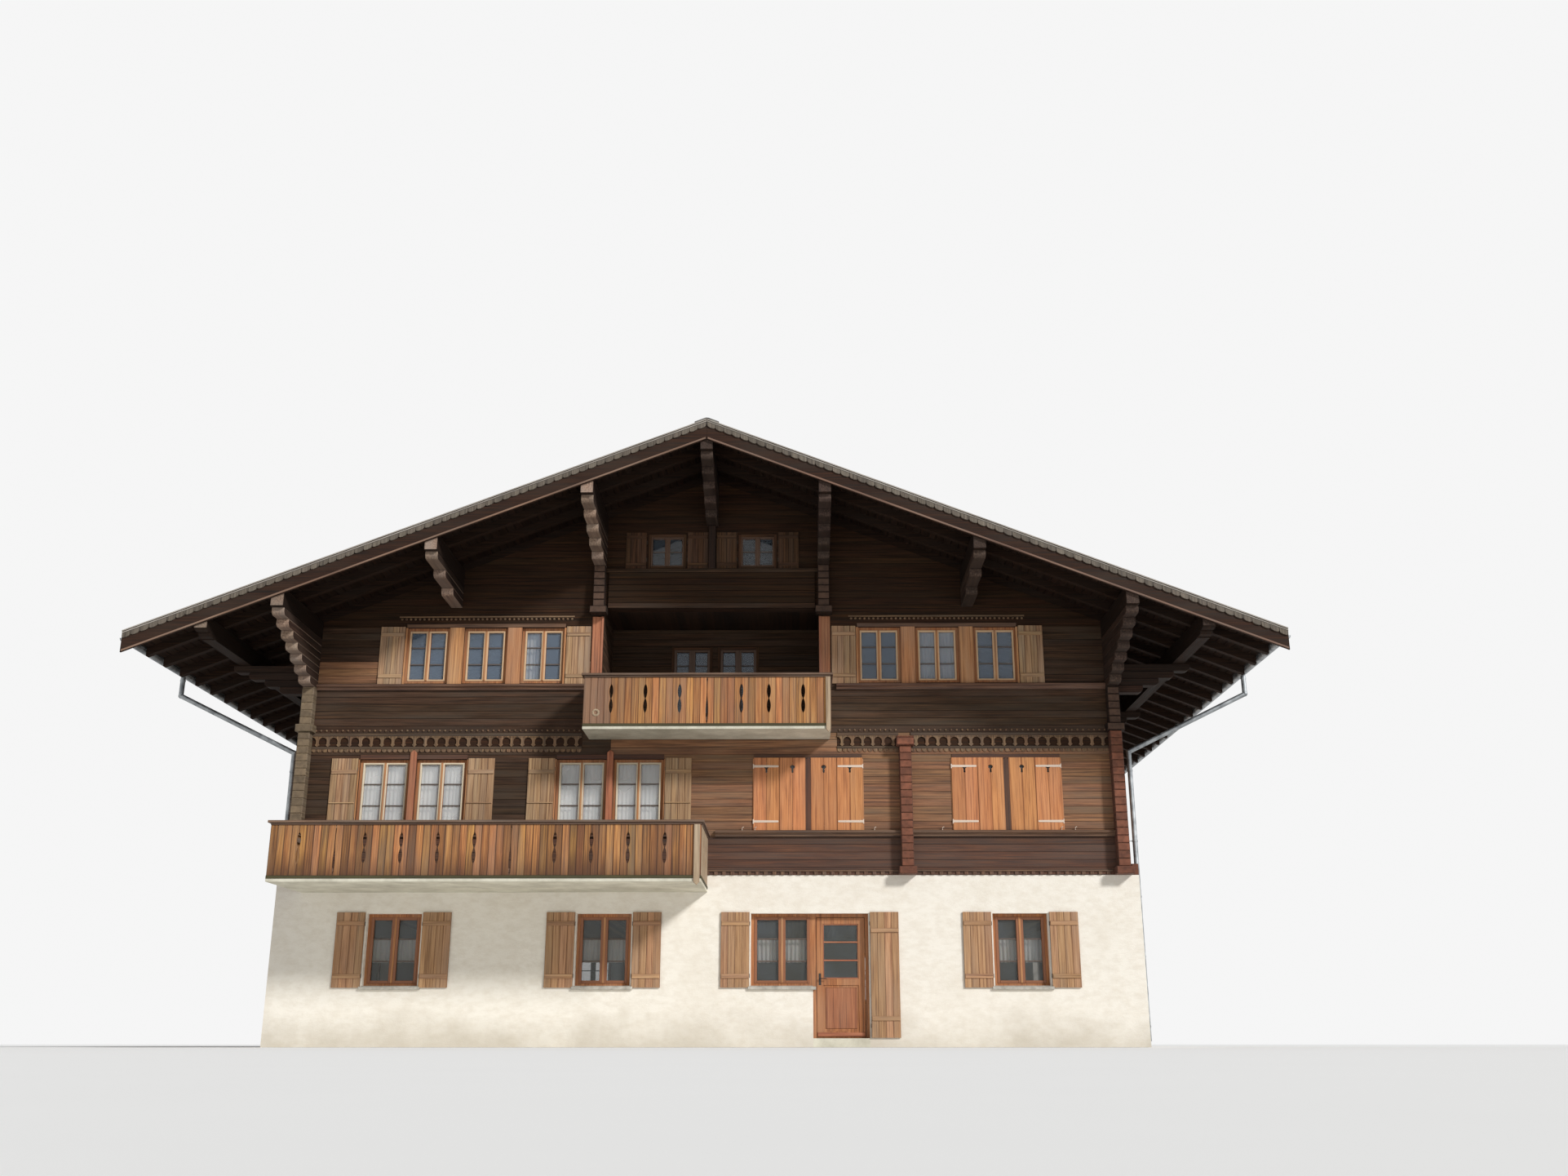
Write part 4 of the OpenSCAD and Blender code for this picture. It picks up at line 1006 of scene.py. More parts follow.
# How far the underlay lies under the slates and behind their edges
UNDERLAY_DOWN = 0.026
UNDERLAY_BACK = 0.012
# The strip along the ridge that the ridge pieces cover
RIDGE_STRIP = 0.15
RIDGE_TILE = 0.415
# Heights over the roof: a ridge piece's underside, its top and its collar's top
TILE_UNDER = 0.001
TILE_TOP = 0.016
COLLAR_TOP = 0.0245
COLLAR_W = 0.05
# The two laths of the verge: top and foot against the roof's surface, and how far each stands back
LATHS = ((0.0, -0.022, 0.0), (-0.034, -0.054, 0.008))
LATH_W = 0.05
# The shingle strip: its width, its top, where its rounds start, and how far they hang down
SCALLOP_W = 0.15
SCALLOP_TOP = -0.064
SCALLOP_FOOT = -0.122
SCALLOP_DROP = 0.03
SCALLOP_T = 0.022
STAYS = 22
STAY_HALF = 0.0125
# Collars of the downpipes, by height
PIPE_COLLAR_ZS = (0.35, 1.55, 2.6, 3.6, 4.9)


def soffit():
    """Boards along the roof, about 140 mm wide, in place of the plain boarding."""
    boards = Piece()
    top, low = COVER_T + 0.001, COVER_T + BOARDING_T
    gap, eased = 0.002, 0.006
    count = round((rafter_x - 2 * gap) / SOFFIT_W)
    step = (rafter_x - gap) / count
    for side in (LEFT, RIGHT):
        for i in range(count):
            x0, x1 = i * step + 2 * gap, (i + 1) * step
            profile = [(x0, top), (x0, low - eased), (x0 + eased, low), (x1 - eased, low),
                       (x1, low - eased), (x1, top)]
            boards.run(side, -soffit_y, soffit_y, [(x, roof_z(x, down)) for x, down in profile])
    boards.make("soffit_boards", (SOFFIT_WOOD,), "roof_timber", replaces=("roof_boards",))


def slates():
    """Courses of slates, each lying on the one below it, over an underlay that fills the rest of
    the covering."""
    edge = eave_x - UNDERLAY_BACK
    side_edge = verge_y - UNDERLAY_BACK
    rows = round((eave_x - RIDGE_STRIP) / SLATE_STEP)
    step = (eave_x - RIDGE_STRIP) / rows
    across = math.ceil(2 * verge_y / SLATE_W)
    for side in (LEFT, RIGHT):
        cover = Piece()
        section = [(0.004, UNDERLAY_DOWN), (0.004, COVER_T), (edge, COVER_T), (edge, UNDERLAY_DOWN)]
        cover.run(side, -side_edge, side_edge, [(x, roof_z(x, down)) for x, down in section], slot=1)
        for row in range(rows):
            low = eave_x - row * step
            high = low - step - SLATE_LAP
            joints = [-verge_y + (row % 2) * SLATE_W / 2 + SLATE_W * i for i in range(-1, across + 1)]
            for a, b in zip(joints, joints[1:]):
                a, b = max(a, -verge_y) + SLATE_GAP, min(b, verge_y) - SLATE_GAP
                if b - a < 0.03:
                    continue
                butt = 0.001 + draw.uniform(0, 0.003)
                head = SLATE_T + 0.007
                section = [(high, head + 0.008), (low, butt + SLATE_T), (low, butt), (high, head)]
                cover.run(side, a, b, [(x, roof_z(x, down)) for x, down in section])
        cover.make(SIDES[side] + "_slates", (SLATE, UNDERLAY), "covering", replaces=("roof_cover",))


def ridge_tiles():
    """Folded ridge pieces, each with a raised collar over the next."""
    ridge = Piece()
    count = round(2 * verge_y / RIDGE_TILE)
    step = 2 * verge_y / count
    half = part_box("ridge_cap")[1].x

    def fold(y0, y1, low, high):
        profile = [(x, roof_z(x, -low)) for x in (-half, 0, half)]
        profile += [(x, roof_z(x, -high)) for x in (half, 0.03, -0.03, -half)]
        points = [(x, y, z) for y in (y0, y1) for x, z in profile]
        ridge.solid(points, capped(2, len(profile)), points)

    for i in range(count):
        y0 = -verge_y + i * step
        fold(y0, y0 + step - 0.002, TILE_UNDER, TILE_TOP)
        fold(y0, y0 + COLLAR_W, TILE_TOP, COLLAR_TOP)
    ridge.make("ridge_tiles", (SLATE,), "zinc", replaces=("ridge_cap",))


def verge():
    """The edge of the roof over each gable: two thin layers, a scalloped shingle strip that hangs over
    the bargeboard, and a moulding along the bargeboard's lower edge."""
    edge, laths, strip = Piece(), Piece(), Piece()
    count = int((eave_x - 0.01) / SCALLOP_W)
    step = (eave_x - 0.01) / count
    foot = -(COVER_T + BARGE_H) * PLUMB
    for front in (-1, 1):
        for hand in (-1, 1):

            def place(back):
                return lambda s, t, d: Vector((hand * s, front * (back + d), ridge_z - s * SLOPE + t))

            for top, low, shy in LATHS:
                laths.slab([(0.002, top), (eave_x, top), (eave_x, low), (0.002, low)],
                           place(verge_y - LATH_W), LATH_W - shy, 0.003, along=0)
            for i in range(count):
                a, b = 0.006 + i * step, 0.006 + (i + 1) * step
                lobe = arc((a + b) / 2, SCALLOP_FOOT, (b - a) / 2 - 0.003, SCALLOP_DROP, 180, 360, 6)
                edge.slab([(a + 0.001, SCALLOP_TOP)] + lobe + [(b - 0.001, SCALLOP_TOP)],
                          place(barge_y + 0.001), SCALLOP_T, 0.003)
            strip.slab([(0.02, foot + 0.005), (eave_x - 0.02, foot + 0.005), (eave_x - 0.02, foot + 0.04),
                        (0.02, foot + 0.04)], place(barge_y), 0.014, 0.004, along=0)
    edge.make("scalloped_verge", (VERGE_WOOD,), "covering")
    laths.make("verge_laths", (VERGE_EDGE,), "covering")
    strip.make("bargeboard_moulding", (BARGE_EDGE,), "roof_timber")


def gutter_work():
    """Stays across the gutters, their end caps, and collars with hooks round the downpipes."""
    work = Piece()
    under, rim = (corner.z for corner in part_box("gutters"))
    bore = GUTTER_R - 0.001
    reach = soffit_y - 0.06
    for side in (LEFT, RIGHT):
        for i in range(STAYS + 1):
            u = -reach + 2 * reach * i / STAYS
            for high, out in ((0.003, gutter_x + bore), (0.03, rafter_x + 0.002)):
                work.rail_on(side, u - STAY_HALF, u + STAY_HALF, rim, rim + high, rafter_x - 0.02, out,
                             0.0008)
        for u in (-soffit_y, soffit_y - 0.002):
            work.slab(arc(gutter_x, rim, bore, bore, 180, 360, 12), lambda s, t, d: at(side, u + d, s, t),
                      0.002)
    collar = [(PIPE_R - 0.0055, -0.02), (PIPE_R + 0.001, -0.016), (PIPE_R + 0.001, 0.016),
              (PIPE_R - 0.0055, 0.02)]
    pipe_x = plaster_x + PIPE_R
    for hand in (-1, 1):
        for z in PIPE_COLLAR_ZS:
            wall = plaster_x if z < wood_z else log_x
            work.turned((hand * pipe_x, pipe_y, z), (0, 0, 1), collar)
            work.rod([(hand * (wall - 0.02), pipe_y, z), (hand * (pipe_x - 0.04), pipe_y, z)], 0.009)
        work.turned((hand * gutter_x, pipe_y, under - 0.06), (0, 0, 1), collar)
    work.make("gutter_stays", (ZINC,), "zinc", rounded=True)


soffit()
slates()
ridge_tiles()
verge()
gutter_work()


# Windows

# How far a sash laps over its frame, lies behind the frame's face and stands out from it
SASH_LAP = 0.03
SASH_BACK = 0.034
SASH_OUT = 0.009
# Widths of its members on the ground storey and in the loggia, and elsewhere
SASH_WIDE = 0.052
SASH_SLIM = 0.031
SASH_ROWS = {"ground": 3, "first": 3, "second": 3, "attic": 2, "loggia": 6}
# Half of the joint between two sashes, and of the strip that covers it
MEETING_HALF = 0.012
STRIP_HALF = 0.02
STRIP_OUT = 0.017
BAR_HALF = 0.011
BAR_T = 0.02
FACING_W = FRAME_B - 0.028
FACING_OUT = 0.012
# How far the sill boards' tops lie under the window frames
SILL_DROP = 0.025
# How far sills and head boards run past a window
SILL_PAST = 0.05
# The second storey's head boards: their foot and top over the windows, and how far they stand out
HEAD_ZS = (0.002, 0.075)
HEAD_OUT = 0.022
# The row of beads over them: their spacing, their height over the windows, how far the row runs past
# them, and the foot and top of the rail above it
BEAD_STEP = 0.085
BEAD_UP = 0.17
BEAD_PAST = 0.15
BEAD_RAIL_ZS = (0.2, 0.232)
BEAD = [(0, -0.005), (0.024, -0.005), (0.021, 0.012), (0.010, 0.019), (0, 0.02)]
JAMB_W = 0.2
# The panels of the loggia's doors: their foot and top over the doors' foot, their shift towards the
# joint, what is left of the leaf at each side, and how far the raised field lies inside them
PANEL_ZS = (0.12, 0.72)
PANEL_SHIFT = 0.01
PANEL_MARGIN = 0.085
FIELD_IN = 0.03
FIELD_UP = 0.04
# How far a stone sill reaches into the wall, out of it and down
STONE_IN = 0.1
STONE_OUT = 0.045
STONE_H = 0.055
# How high the first storey's posts rise over the windows and how far they stand out
RED_POST = (0.17, 0.045)
DARK_POST = (0.03, 0.02)
# Windows of the second storey that stand closer than this share a group
GROUP_STEP = 1.5


def sash(piece, bars, window, u0, u1):
    """One sash over the CAD frame's opening, with thin bars that part its glass into rows."""
    out0, out1 = window.face - SASH_BACK, window.face + SASH_OUT
    member = SASH_WIDE if window.storey in ("ground", "loggia") else SASH_SLIM
    z0, z1 = window.z0 + FRAME_B - SASH_LAP, window.z1 - FRAME_B + SASH_LAP
    piece.surround(window.side, u0, u1, z0, z1, member, out0, out1, 0.006, tone=0.5)
    rows = SASH_ROWS[window.storey]
    for i in range(1, rows):
        z = z0 + (z1 - z0) * i / rows
        bars.rail_on(window.side, u0 + member, u1 - member, z - BAR_HALF, z + BAR_HALF, out0,
                     out0 + BAR_T, 0.004)


def sashes():
    """Two sashes for each window, in the paint of its storey."""
    pale, tan, brown, dark, glazing = (Piece() for _ in range(5))
    for w in windows:
        wood = {"first": pale, "ground": brown, "second": tan}.get(w.storey, dark)
        sash(wood, glazing, w, w.left + FRAME_B - SASH_LAP, w.u - MEETING_HALF)
        sash(wood, glazing, w, w.u + MEETING_HALF, w.right - FRAME_B + SASH_LAP)
    pale.make("cream_sashes", (SASH_WOOD,), "frame_wood")
    tan.make("tan_sashes", (SASH_TAN,), "frame_wood")
    brown.make("brown_sashes", (SASH_BROWN,), "frame_wood")
    dark.make("dark_sashes", (SASH_DARK,), "frame_wood")
    glazing.make("glazing_bars", (BAR_WOOD,), "frame_wood")


def cover_strips():
    """The rebated strip that covers the joint between two sashes."""
    strips, darks = Piece(), Piece()
    for w in windows:
        piece = darks if w.storey in ("attic", "loggia") else strips
        piece.board_on(w.side, w.u - STRIP_HALF, w.u + STRIP_HALF, w.z0 + 0.06, w.z1 - 0.06, w.face,
                       w.face + STRIP_OUT, 0.006, tone=0.5)
    strips.make("sash_cover_strips", (POST_WOOD,), "frame_wood")
    darks.make("dark_cover_strips", (SASH_DARK,), "frame_wood")


def dark_facings():
    """Facing boards, dark as painted shade, over the frames of the attic windows and the loggia's
    glazed doors.
    """
    facings = Piece()
    for w in windows:
        if w.storey in ("attic", "loggia"):
            facings.surround(w.side, w.left, w.right, w.z0, w.z1, FACING_W, w.face,
                             w.face + FACING_OUT, 0.004)
    facings.make("dark_frame_facings", (DARK_SHUTTER,), "frame_wood")


def loggia_panels():
    """Wooden panels in the lower part of the loggia's glazed doors."""
    panels = Piece()
    for w in windows:
        if w.storey != "loggia":
            continue
        quarter = (w.right - w.left) / 4
        half = quarter - PANEL_MARGIN
        for u in (w.u - quarter + PANEL_SHIFT, w.u + quarter - PANEL_SHIFT):
            low, high = (w.z0 + rise for rise in PANEL_ZS)
            ground = w.face - 0.012
            panels.board_on(FRONT, u - half, u + half, low, high, w.face - SASH_BACK, ground)
            panels.board_on(FRONT, u - half + FIELD_IN, u + half - FIELD_IN, low + FIELD_UP,
                            high - FIELD_UP, ground, w.face + 0.002, 0.01)
    panels.make("loggia_door_panels", (SASH_DARK,), "frame_wood")


def second_posts(piers, heads, beads):
    """The second storey's boards on its piers, and a head board over each three windows with a row of
    turned beads and a rail above them."""
    base = front_y + FACE_T
    row = front_windows("second")
    sill, head = row[0].z0 - SILL_DROP, row[0].z1
    for a, b in zip(row, row[1:]):
        if b.u - a.u < GROUP_STEP:
            piers.board_on(FRONT, a.right, b.left, sill, head + 0.05, front_y, base + 0.014, 0.006)
    for left, right in ((row[0].left, row[2].right), (row[3].left, row[5].right)):
        low, high = (head + rise for rise in HEAD_ZS)
        heads.rail_on(FRONT, left, right, low, high, front_y, base + HEAD_OUT, 0.006)
        for u in (left, right):
            piers.board_on(FRONT, u - 0.02, u + 0.02, sill, head, front_y, base + 0.008, 0.004)
        for i in range(round((right - left + 2 * BEAD_PAST) / BEAD_STEP)):
            u = left - BEAD_PAST + (i + 0.5) * BEAD_STEP
            beads.turned(at(FRONT, u, base, head + BEAD_UP), at(FRONT, 0, 1, 0), BEAD, 10)
        low, high = (head + rise for rise in BEAD_RAIL_ZS)
        past = BEAD_PAST + 0.01
        beads.rail_on(FRONT, left - past, right + past, low, high, front_y, base + 0.014, 0.006)


def first_posts(piers, reds, smoked):
    """A post between each pair of the first storey's windows. It is red and pointed high on the left,
    and dark as painted shade on the right, where the shutters are closed. The head boards over the
    windows are dark too, as painted shade."""
    base = front_y + FACE_T
    row = front_windows("first")
    sill, head = row[0].z0 - SILL_DROP, row[0].z1
    for a, b in zip(row[::2], row[1::2]):
        middle = (a.u + b.u) / 2
        piece, rise, proud = (reds, *RED_POST) if middle < 0 else (smoked, *DARK_POST)
        peak = head + rise
        piece.slab([(a.right, sill), (b.left, sill), (b.left, peak - 0.05), (middle, peak),
                    (a.right, peak - 0.05)], on_face(FRONT, front_y), FACE_T + proud, 0.008)
        for u in (a.left - 0.012, b.right + 0.012):
            piers.board_on(FRONT, u - 0.012, u + 0.012, sill, head, front_y, base + 0.012, 0.004)
        smoked.rail_on(FRONT, a.left, b.right, head + 0.002, head + 0.085, front_y, base + 0.014, 0.005)


def loggia_jambs(jambs):
    """A wide board and a narrow one at each side of the loggia's opening."""
    base = front_y + FACE_T
    low, high = second_z + 0.03, attic_under_z - 0.16
    for hand in (-1, 1):
        u0, u1 = sorted((hand * loggia_x, hand * (loggia_x + JAMB_W)))
        jambs.board_on(FRONT, u0, u1, low, high, front_y, base + 0.02, 0.008)
        u = hand * (loggia_x + 0.008)
        jambs.board_on(FRONT, u - 0.02, u + 0.02, low, high, front_y, base + 0.034, 0.006)


def posts_and_heads():
    """Boards on the piers between the front's windows, their posts, head boards and jambs."""
    piers, reds, beads, smoked, jambs, heads = (Piece() for _ in range(6))
    second_posts(piers, heads, beads)
    first_posts(piers, reds, smoked)
    loggia_jambs(jambs)
    piers.make("window_posts", (POST_WOOD,), "frame_wood")
    reds.make("red_posts", (RED_WOOD,), "frame_wood")
    beads.make("head_beads", (CARVED,), "old_logs")
    # Dark posts and head boards: painted shade
    smoked.make("closed_window_posts", (BAND_LOGS,), "old_logs")
    jambs.make("loggia_jambs", (RED_WOOD,), "old_logs")
    heads.make("window_head_boards", (SILL_WOOD,), "frame_wood")


def sill_profile(out, top, deep, high):
    """A sill board's nosing, with a hollow under it."""
    hollow = arc(out + deep, top - high, deep * 0.45, high * 0.55, 90, 180, 4)
    return ([(out, top), (out, top - high), (out + deep * 0.55, top - high)] + hollow[::-1]
            + [(out + deep - 0.006, top - high * 0.42), (out + deep, top - high * 0.36),
               (out + deep, top - 0.012), (out + deep - 0.012, top)])


def sills():
    """Moulded sill boards under the log windows, and cut stone under the ground storey's."""
    wood, plain, stone = Piece(), Piece(), Piece()
    for side, (u0, u1, out0, out1, z0, z1) in on_walls("window_sills"):
        wood.run(side, u0, u1, sill_profile(front_y, z1, out1 - front_y, z1 - z0))
    for w in windows:
        left, right = w.left - SILL_PAST, w.right + SILL_PAST
        if w.storey == "ground":
            wall = w.face + MASONRY_REVEAL
            stone.rail_on(w.side, left, right, w.z0 - STONE_H, w.z0 - 0.001, wall - STONE_IN,
                          wall + STONE_OUT, 0.006)
            stone.rail_on(w.side, w.left + 0.001, w.right - 0.001, w.z0, w.z0 + 0.012, w.face + 0.001,
                          wall + 0.02)
        elif w.side != FRONT:
            wall = w.face + LOG_REVEAL
            plain.run(w.side, left, right, sill_profile(wall, w.z0, 0.07, 0.07))
            plain.rail_on(w.side, left, right, w.z1, w.z1 + 0.09, wall, wall + 0.028, 0.006)
    wood.make("moulded_sill_boards", (SILL_WOOD,), "frame_wood", replaces=("window_sills",))
    stone.make("stone_sills", (STONE,), "concrete")
    plain.make("side_sill_boards", (POST_WOOD,), "frame_wood")


sashes()
cover_strips()
dark_facings()
loggia_panels()
posts_and_heads()
sills()


# Carved work between the storeys

PENDANT_W = 0.2
PENDANT_H = 0.2
# The frieze's top rail, and its lower rail between two heights over its foot
TOP_RAIL_H = 0.06
RAIL_LOW = 0.1
RAIL_HIGH = 0.15
# A round of the frieze, and a peg over it
ROUND_DROP = 0.045
PEG = [(0, -0.01), (0.02, -0.01), (0.017, 0.012), (0, 0.02)]
PEG_UP = 0.05
DENTIL_STEP = 0.15
DENTIL_HALF = 0.036
# The dentils' foot, their top and the top of the lath over them, from the foot of the logs
DENTIL_ZS = (0.004, 0.062, 0.09)
# The dentils stop this far from the middle of the cross wall's column
DENTIL_CLEAR = 0.2
# The parapet: its rows of boards, its lower rail's height, how far boards and rail stand out, and the
# height and depth of its cap
PARAPET_ROWS = 5
PARAPET_RAIL_H = 0.1
PARAPET_OUT = 0.052
PARAPET_RAIL_OUT = 0.062
CAP_H = 0.06
CAP_DEEP = 0.11


def pendant(u, top, half, drop):
    """A narrow tongue between two arches, with a pointed drop at its foot."""
    neck = half * 0.26
    right = [(u + half, top - drop * 0.12)]
    right += arc(u + half, top - drop * 0.45, half - neck, drop * 0.33, 90, 180, 5)
    right += [(u + neck, top - drop * 0.68), (u + neck * 1.7, top - drop * 0.8), (u, top - drop)]
    left = [(2 * u - x, z) for x, z in right[:-1]]
    return [(u - half, top), (u + half, top)] + right + left[::-1]


def frieze():
    """An arcade of pendants, a row of small rounds and a row of pegs, on boards along the front."""
    carved, plain, backing = Piece(), Piece(), Piece()
    wall = front_y + FACE_T
    for side, (u0, u1, out0, out1, z0, z1) in on_walls("storey_frieze"):
        low, high, top = z0 + RAIL_LOW, z0 + RAIL_HIGH, z1 - TOP_RAIL_H
        backing.rail_on(side, u0, u1, high, top, front_y, wall + 0.004, 0.004)
        plain.rail_on(side, u0, u1, top, z1, front_y, wall + 0.02, 0.008)
        plain.rail_on(side, u0, u1, low, high, front_y, wall + 0.018, 0.006)
        count = round((u1 - u0) / PENDANT_W)
        step = (u1 - u0) / count
        for i in range(count):
            u = u0 + step * (i + 0.5)
            carved.slab(pendant(u, top - 0.001, step / 2 - 0.0005, PENDANT_H),
                        on_face(side, wall + 0.004), 0.022, 0.004)
            for spot in (u - step / 4, u + step / 4):
                lobe = arc(spot, low - 0.015, step / 4 - 0.004, ROUND_DROP, 180, 360, 5)
                carved.slab([(lobe[0][0], low)] + lobe + [(lobe[-1][0], low)], on_face(side, wall), 0.014,
                            0.003)
                carved.turned(at(side, spot, wall + 0.006, z1 + PEG_UP), at(side, 0, 1, 0), PEG, 8)
    carved.make("carved_frieze", (CARVED,), "old_logs", replaces=("storey_frieze",))
    plain.make("frieze_rails", (FRIEZE_RAIL,), "old_logs")
    # The backing between the carvings is near black: painted shade
    backing.make("frieze_backing", (GABLE_LOGS,), "old_logs")


def dentils():
    """Small blocks where the logs meet the plaster, on every side."""
    blocks = Piece()
    foot, top, lath_top = (wood_z + rise for rise in DENTIL_ZS)
    for side in range(4):
        half, out = (log_x - 0.3, front_y) if side in (FRONT, BACK) else (front_y - 0.05, log_x)
        blocks.rail_on(side, -half, half, top, lath_top, out, out + 0.035, 0.006)
        count = round(2 * half / DENTIL_STEP)
        for i in range(count):
            u = -half + (i + 0.5) * 2 * half / count
            if side != FRONT or abs(u - cross_x) >= DENTIL_CLEAR:
                blocks.board_on(side, u - DENTIL_HALF, u + DENTIL_HALF, foot, top, out, out + 0.03, 0.006)
    blocks.make("dentil_rows", (SILL_WOOD,), "old_logs")


def parapet():
    """Boards and rails of the parapet under the attic's windows."""
    boards, rails = Piece(), Piece()
    low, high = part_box("attic_parapet")
    half = high.x - FOOT_OUT
    foot = low.z + PARAPET_RAIL_H
    step = (high.z - CAP_H - foot) / PARAPET_ROWS
    for i in range(PARAPET_ROWS):
        z = foot + i * step
        boards.rail_on(FRONT, -half, half, z + 0.002, z + step - 0.002, front_y, front_y + PARAPET_OUT,
                       0.006)
    rails.rail_on(FRONT, -half, half, low.z, foot, front_y, front_y + PARAPET_RAIL_OUT, 0.008)
    # The parapet is dark: painted shade under the roof
    boards.make("parapet_boards", (GABLE_LOGS,), "old_logs", replaces=("attic_parapet",))
    rails.run(FRONT, -high.x, high.x, sill_profile(front_y, high.z, CAP_DEEP, CAP_H))
    rails.make("parapet_rails", (DARK_LOGS,), "frame_wood")


frieze()
dentils()
parapet()


# Shutters

SHUTTER_BACK = 0.012
SHUTTER_BOARD = 0.022
BATTEN_T = 0.016
# Half of the open joint between two upright boards
BOARD_GAP = 0.0012
# Strap hinges: half of their height, the radius of their tip, their thickness, and how far they lie
# from the leaf's foot and top
STRAP_HALF = 0.022
STRAP_TIP_R = 0.018
STRAP_T = 0.006
STRAP_IN = 0.16
# Half of a pin's length, and its radius, on strap hinges and on open leaves
STRAP_PIN = (0.04, 0.011)
OPEN_PIN = (0.035, 0.009)
OPEN_PIN_IN = 0.2
# Each storey's ledges: their places as shares of the leaf's height, and how high they are
OPEN_BATTENS = {
    "ground": ((0.15, 0.075), (0.85, 0.075)),
    "first": ((0.38, 0.022), (0.81, 0.075)),
    "second": ((0.14, 0.07), (0.86, 0.07)),
    "attic": ((0.13, 0.06), (0.87, 0.06)),
}
first_row = front_windows("first")
# Middles of the two window groups on the front that have closed shutters
closed_groups = [(a.u + b.u) / 2 for a, b in zip(first_row[4::2], first_row[5::2])]


def leaf_edge(u, z0, z1, shape, hand):
    """A board's edge from z0 to z1, cut back where shape gives (height, depth) points."""
    return [(u, z0)] + [(u + hand * depth, z) for z, depth in shape] + [(u, z1)]


def cut_board(piece, side, u0, u1, z0, z1, out, thick, left=(), right=(), front=0):
    """A board with pieces cut out of its edges."""
    outline = leaf_edge(u1, z0, z1, right, -1) + leaf_edge(u0, z0, z1, left, 1)[::-1]
    piece.slab(outline, on_face(side, out), thick, 0.003, front=front)


def club(z):
    """Half of the small cut-out near a shutter's head: a round over a stem."""
    return [(z - 0.09, 0.0), (z - 0.085, 0.015), (z - 0.01, 0.015)] + [
        (y, x) for x, y in arc(0, z + 0.02, 0.042, 0.034, -68, 90, 6)]


def shutter(piece, side, limits, battens, cut=None, boards=4):
    """A ledged leaf: its boards, with a cut-out between the middle two, and its ledges."""
    u0, u1, out0, _, z0, z1 = limits
    back = out0 + SHUTTER_BACK
    face = back + SHUTTER_BOARD
    step = (u1 - u0) / boards
    for i in range(boards):
        left = club(cut) if cut and i == boards // 2 else ()
        right = club(cut) if cut and i == boards // 2 - 1 else ()
        cut_board(piece, side, u0 + i * step + BOARD_GAP, u0 + (i + 1) * step - BOARD_GAP, z0, z1, back,
                  SHUTTER_BOARD, left, right)
    for share, high in battens:
        z = z0 + (z1 - z0) * share
        piece.rail_on(side, u0 + 0.012, u1 - 0.012, z - high / 2, z + high / 2, face, face + BATTEN_T,
                      0.005)


def hinge_pin(iron, side, u, out, z, half, radius):
    """A hinge's knuckle: an upright rod with its middle at a height."""
    iron.rod([at(side, u, out, z - half), at(side, u, out, z + half)], radius)


def strap_hinge(iron, side, limits, z, hand):
    """A pale strap across an outer leaf, from its knuckle on the jamb to a rounded tip."""
    u0, u1, out0, _, _, _ = limits
    knuckle, tip = (u0, u1 - 0.03) if hand < 0 else (u1, u0 + 0.03)
    face = out0 + SHUTTER_BACK + SHUTTER_BOARD
    outline = [(knuckle, z - hand * STRAP_HALF), (knuckle, z + hand * STRAP_HALF)]
    outline += arc(tip, z, STRAP_TIP_R, STRAP_TIP_R, 90 * hand, 90 * hand + 180, 6)
    iron.slab(outline, on_face(side, face), STRAP_T, 0.0015)
    hinge_pin(iron, side, knuckle, face - 0.004, z, *STRAP_PIN)


def closed_leaf(boards, iron, side, limits):
    """A closed leaf, with strap hinges if it is an outer one of its group."""
    u0, u1, _, _, z0, z1 = limits
    shutter(boards, side, limits, (), z1 - 0.19, 2)
    middle = (u0 + u1) / 2
    group = min(closed_groups, key=lambda u: abs(u - middle))
    if abs(middle - group) > 0.5:
        for z in (z0 + STRAP_IN, z1 - STRAP_IN):
            strap_hinge(iron, side, limits, z, -1 if middle < group else 1)


def open_leaf(boards, iron, side, limits, storey):
    """An open leaf, with knuckles on the edge that is next to its window."""
    u0, u1, out0, _, z0, z1 = limits
    shutter(boards, side, limits, OPEN_BATTENS[storey])
    middle = (u0 + u1) / 2
    near = min((w.u for w in windows if w.side == side and w.storey == storey),
               key=lambda u: abs(u - middle))
    hinge = u1 if near > middle else u0
    for z in (z0 + OPEN_PIN_IN, z1 - OPEN_PIN_IN):
        hinge_pin(iron, side, hinge, out0 + 0.02, z, *OPEN_PIN)


def shutters():
    tan, orange, brown, smoked, pale, dark = (Piece() for _ in range(6))
    for node in ("ground_shutters", "log_shutters"):
        for side, limits in on_walls(node):
            storey = storey_at(limits[4])
            if side == FRONT and storey == "first" and limits[0] > 0:
                closed_leaf(orange, pale, side, limits)
            else:
                open_leaf({"ground": brown, "attic": smoked}.get(storey, tan), dark, side, limits, storey)
    tan.make("tan_shutters", (TAN_SHUTTER,), "shutter_wood", replaces=("log_shutters",))
    orange.make("closed_shutters", (ORANGE_SHUTTER,), "shutter_wood")
    # The attic's shutters are dark: painted shade under the roof
    smoked.make("attic_shutters", (DARK_SHUTTER,), "shutter_wood")
    brown.make("brown_shutters", (BROWN_SHUTTER,), "shutter_wood", replaces=("ground_shutters",))
    pale.make("strap_hinges", (PALE_IRON,), "zinc", rounded=True)
    dark.make("shutter_knuckles", (DARK_IRON,), "zinc", rounded=True)


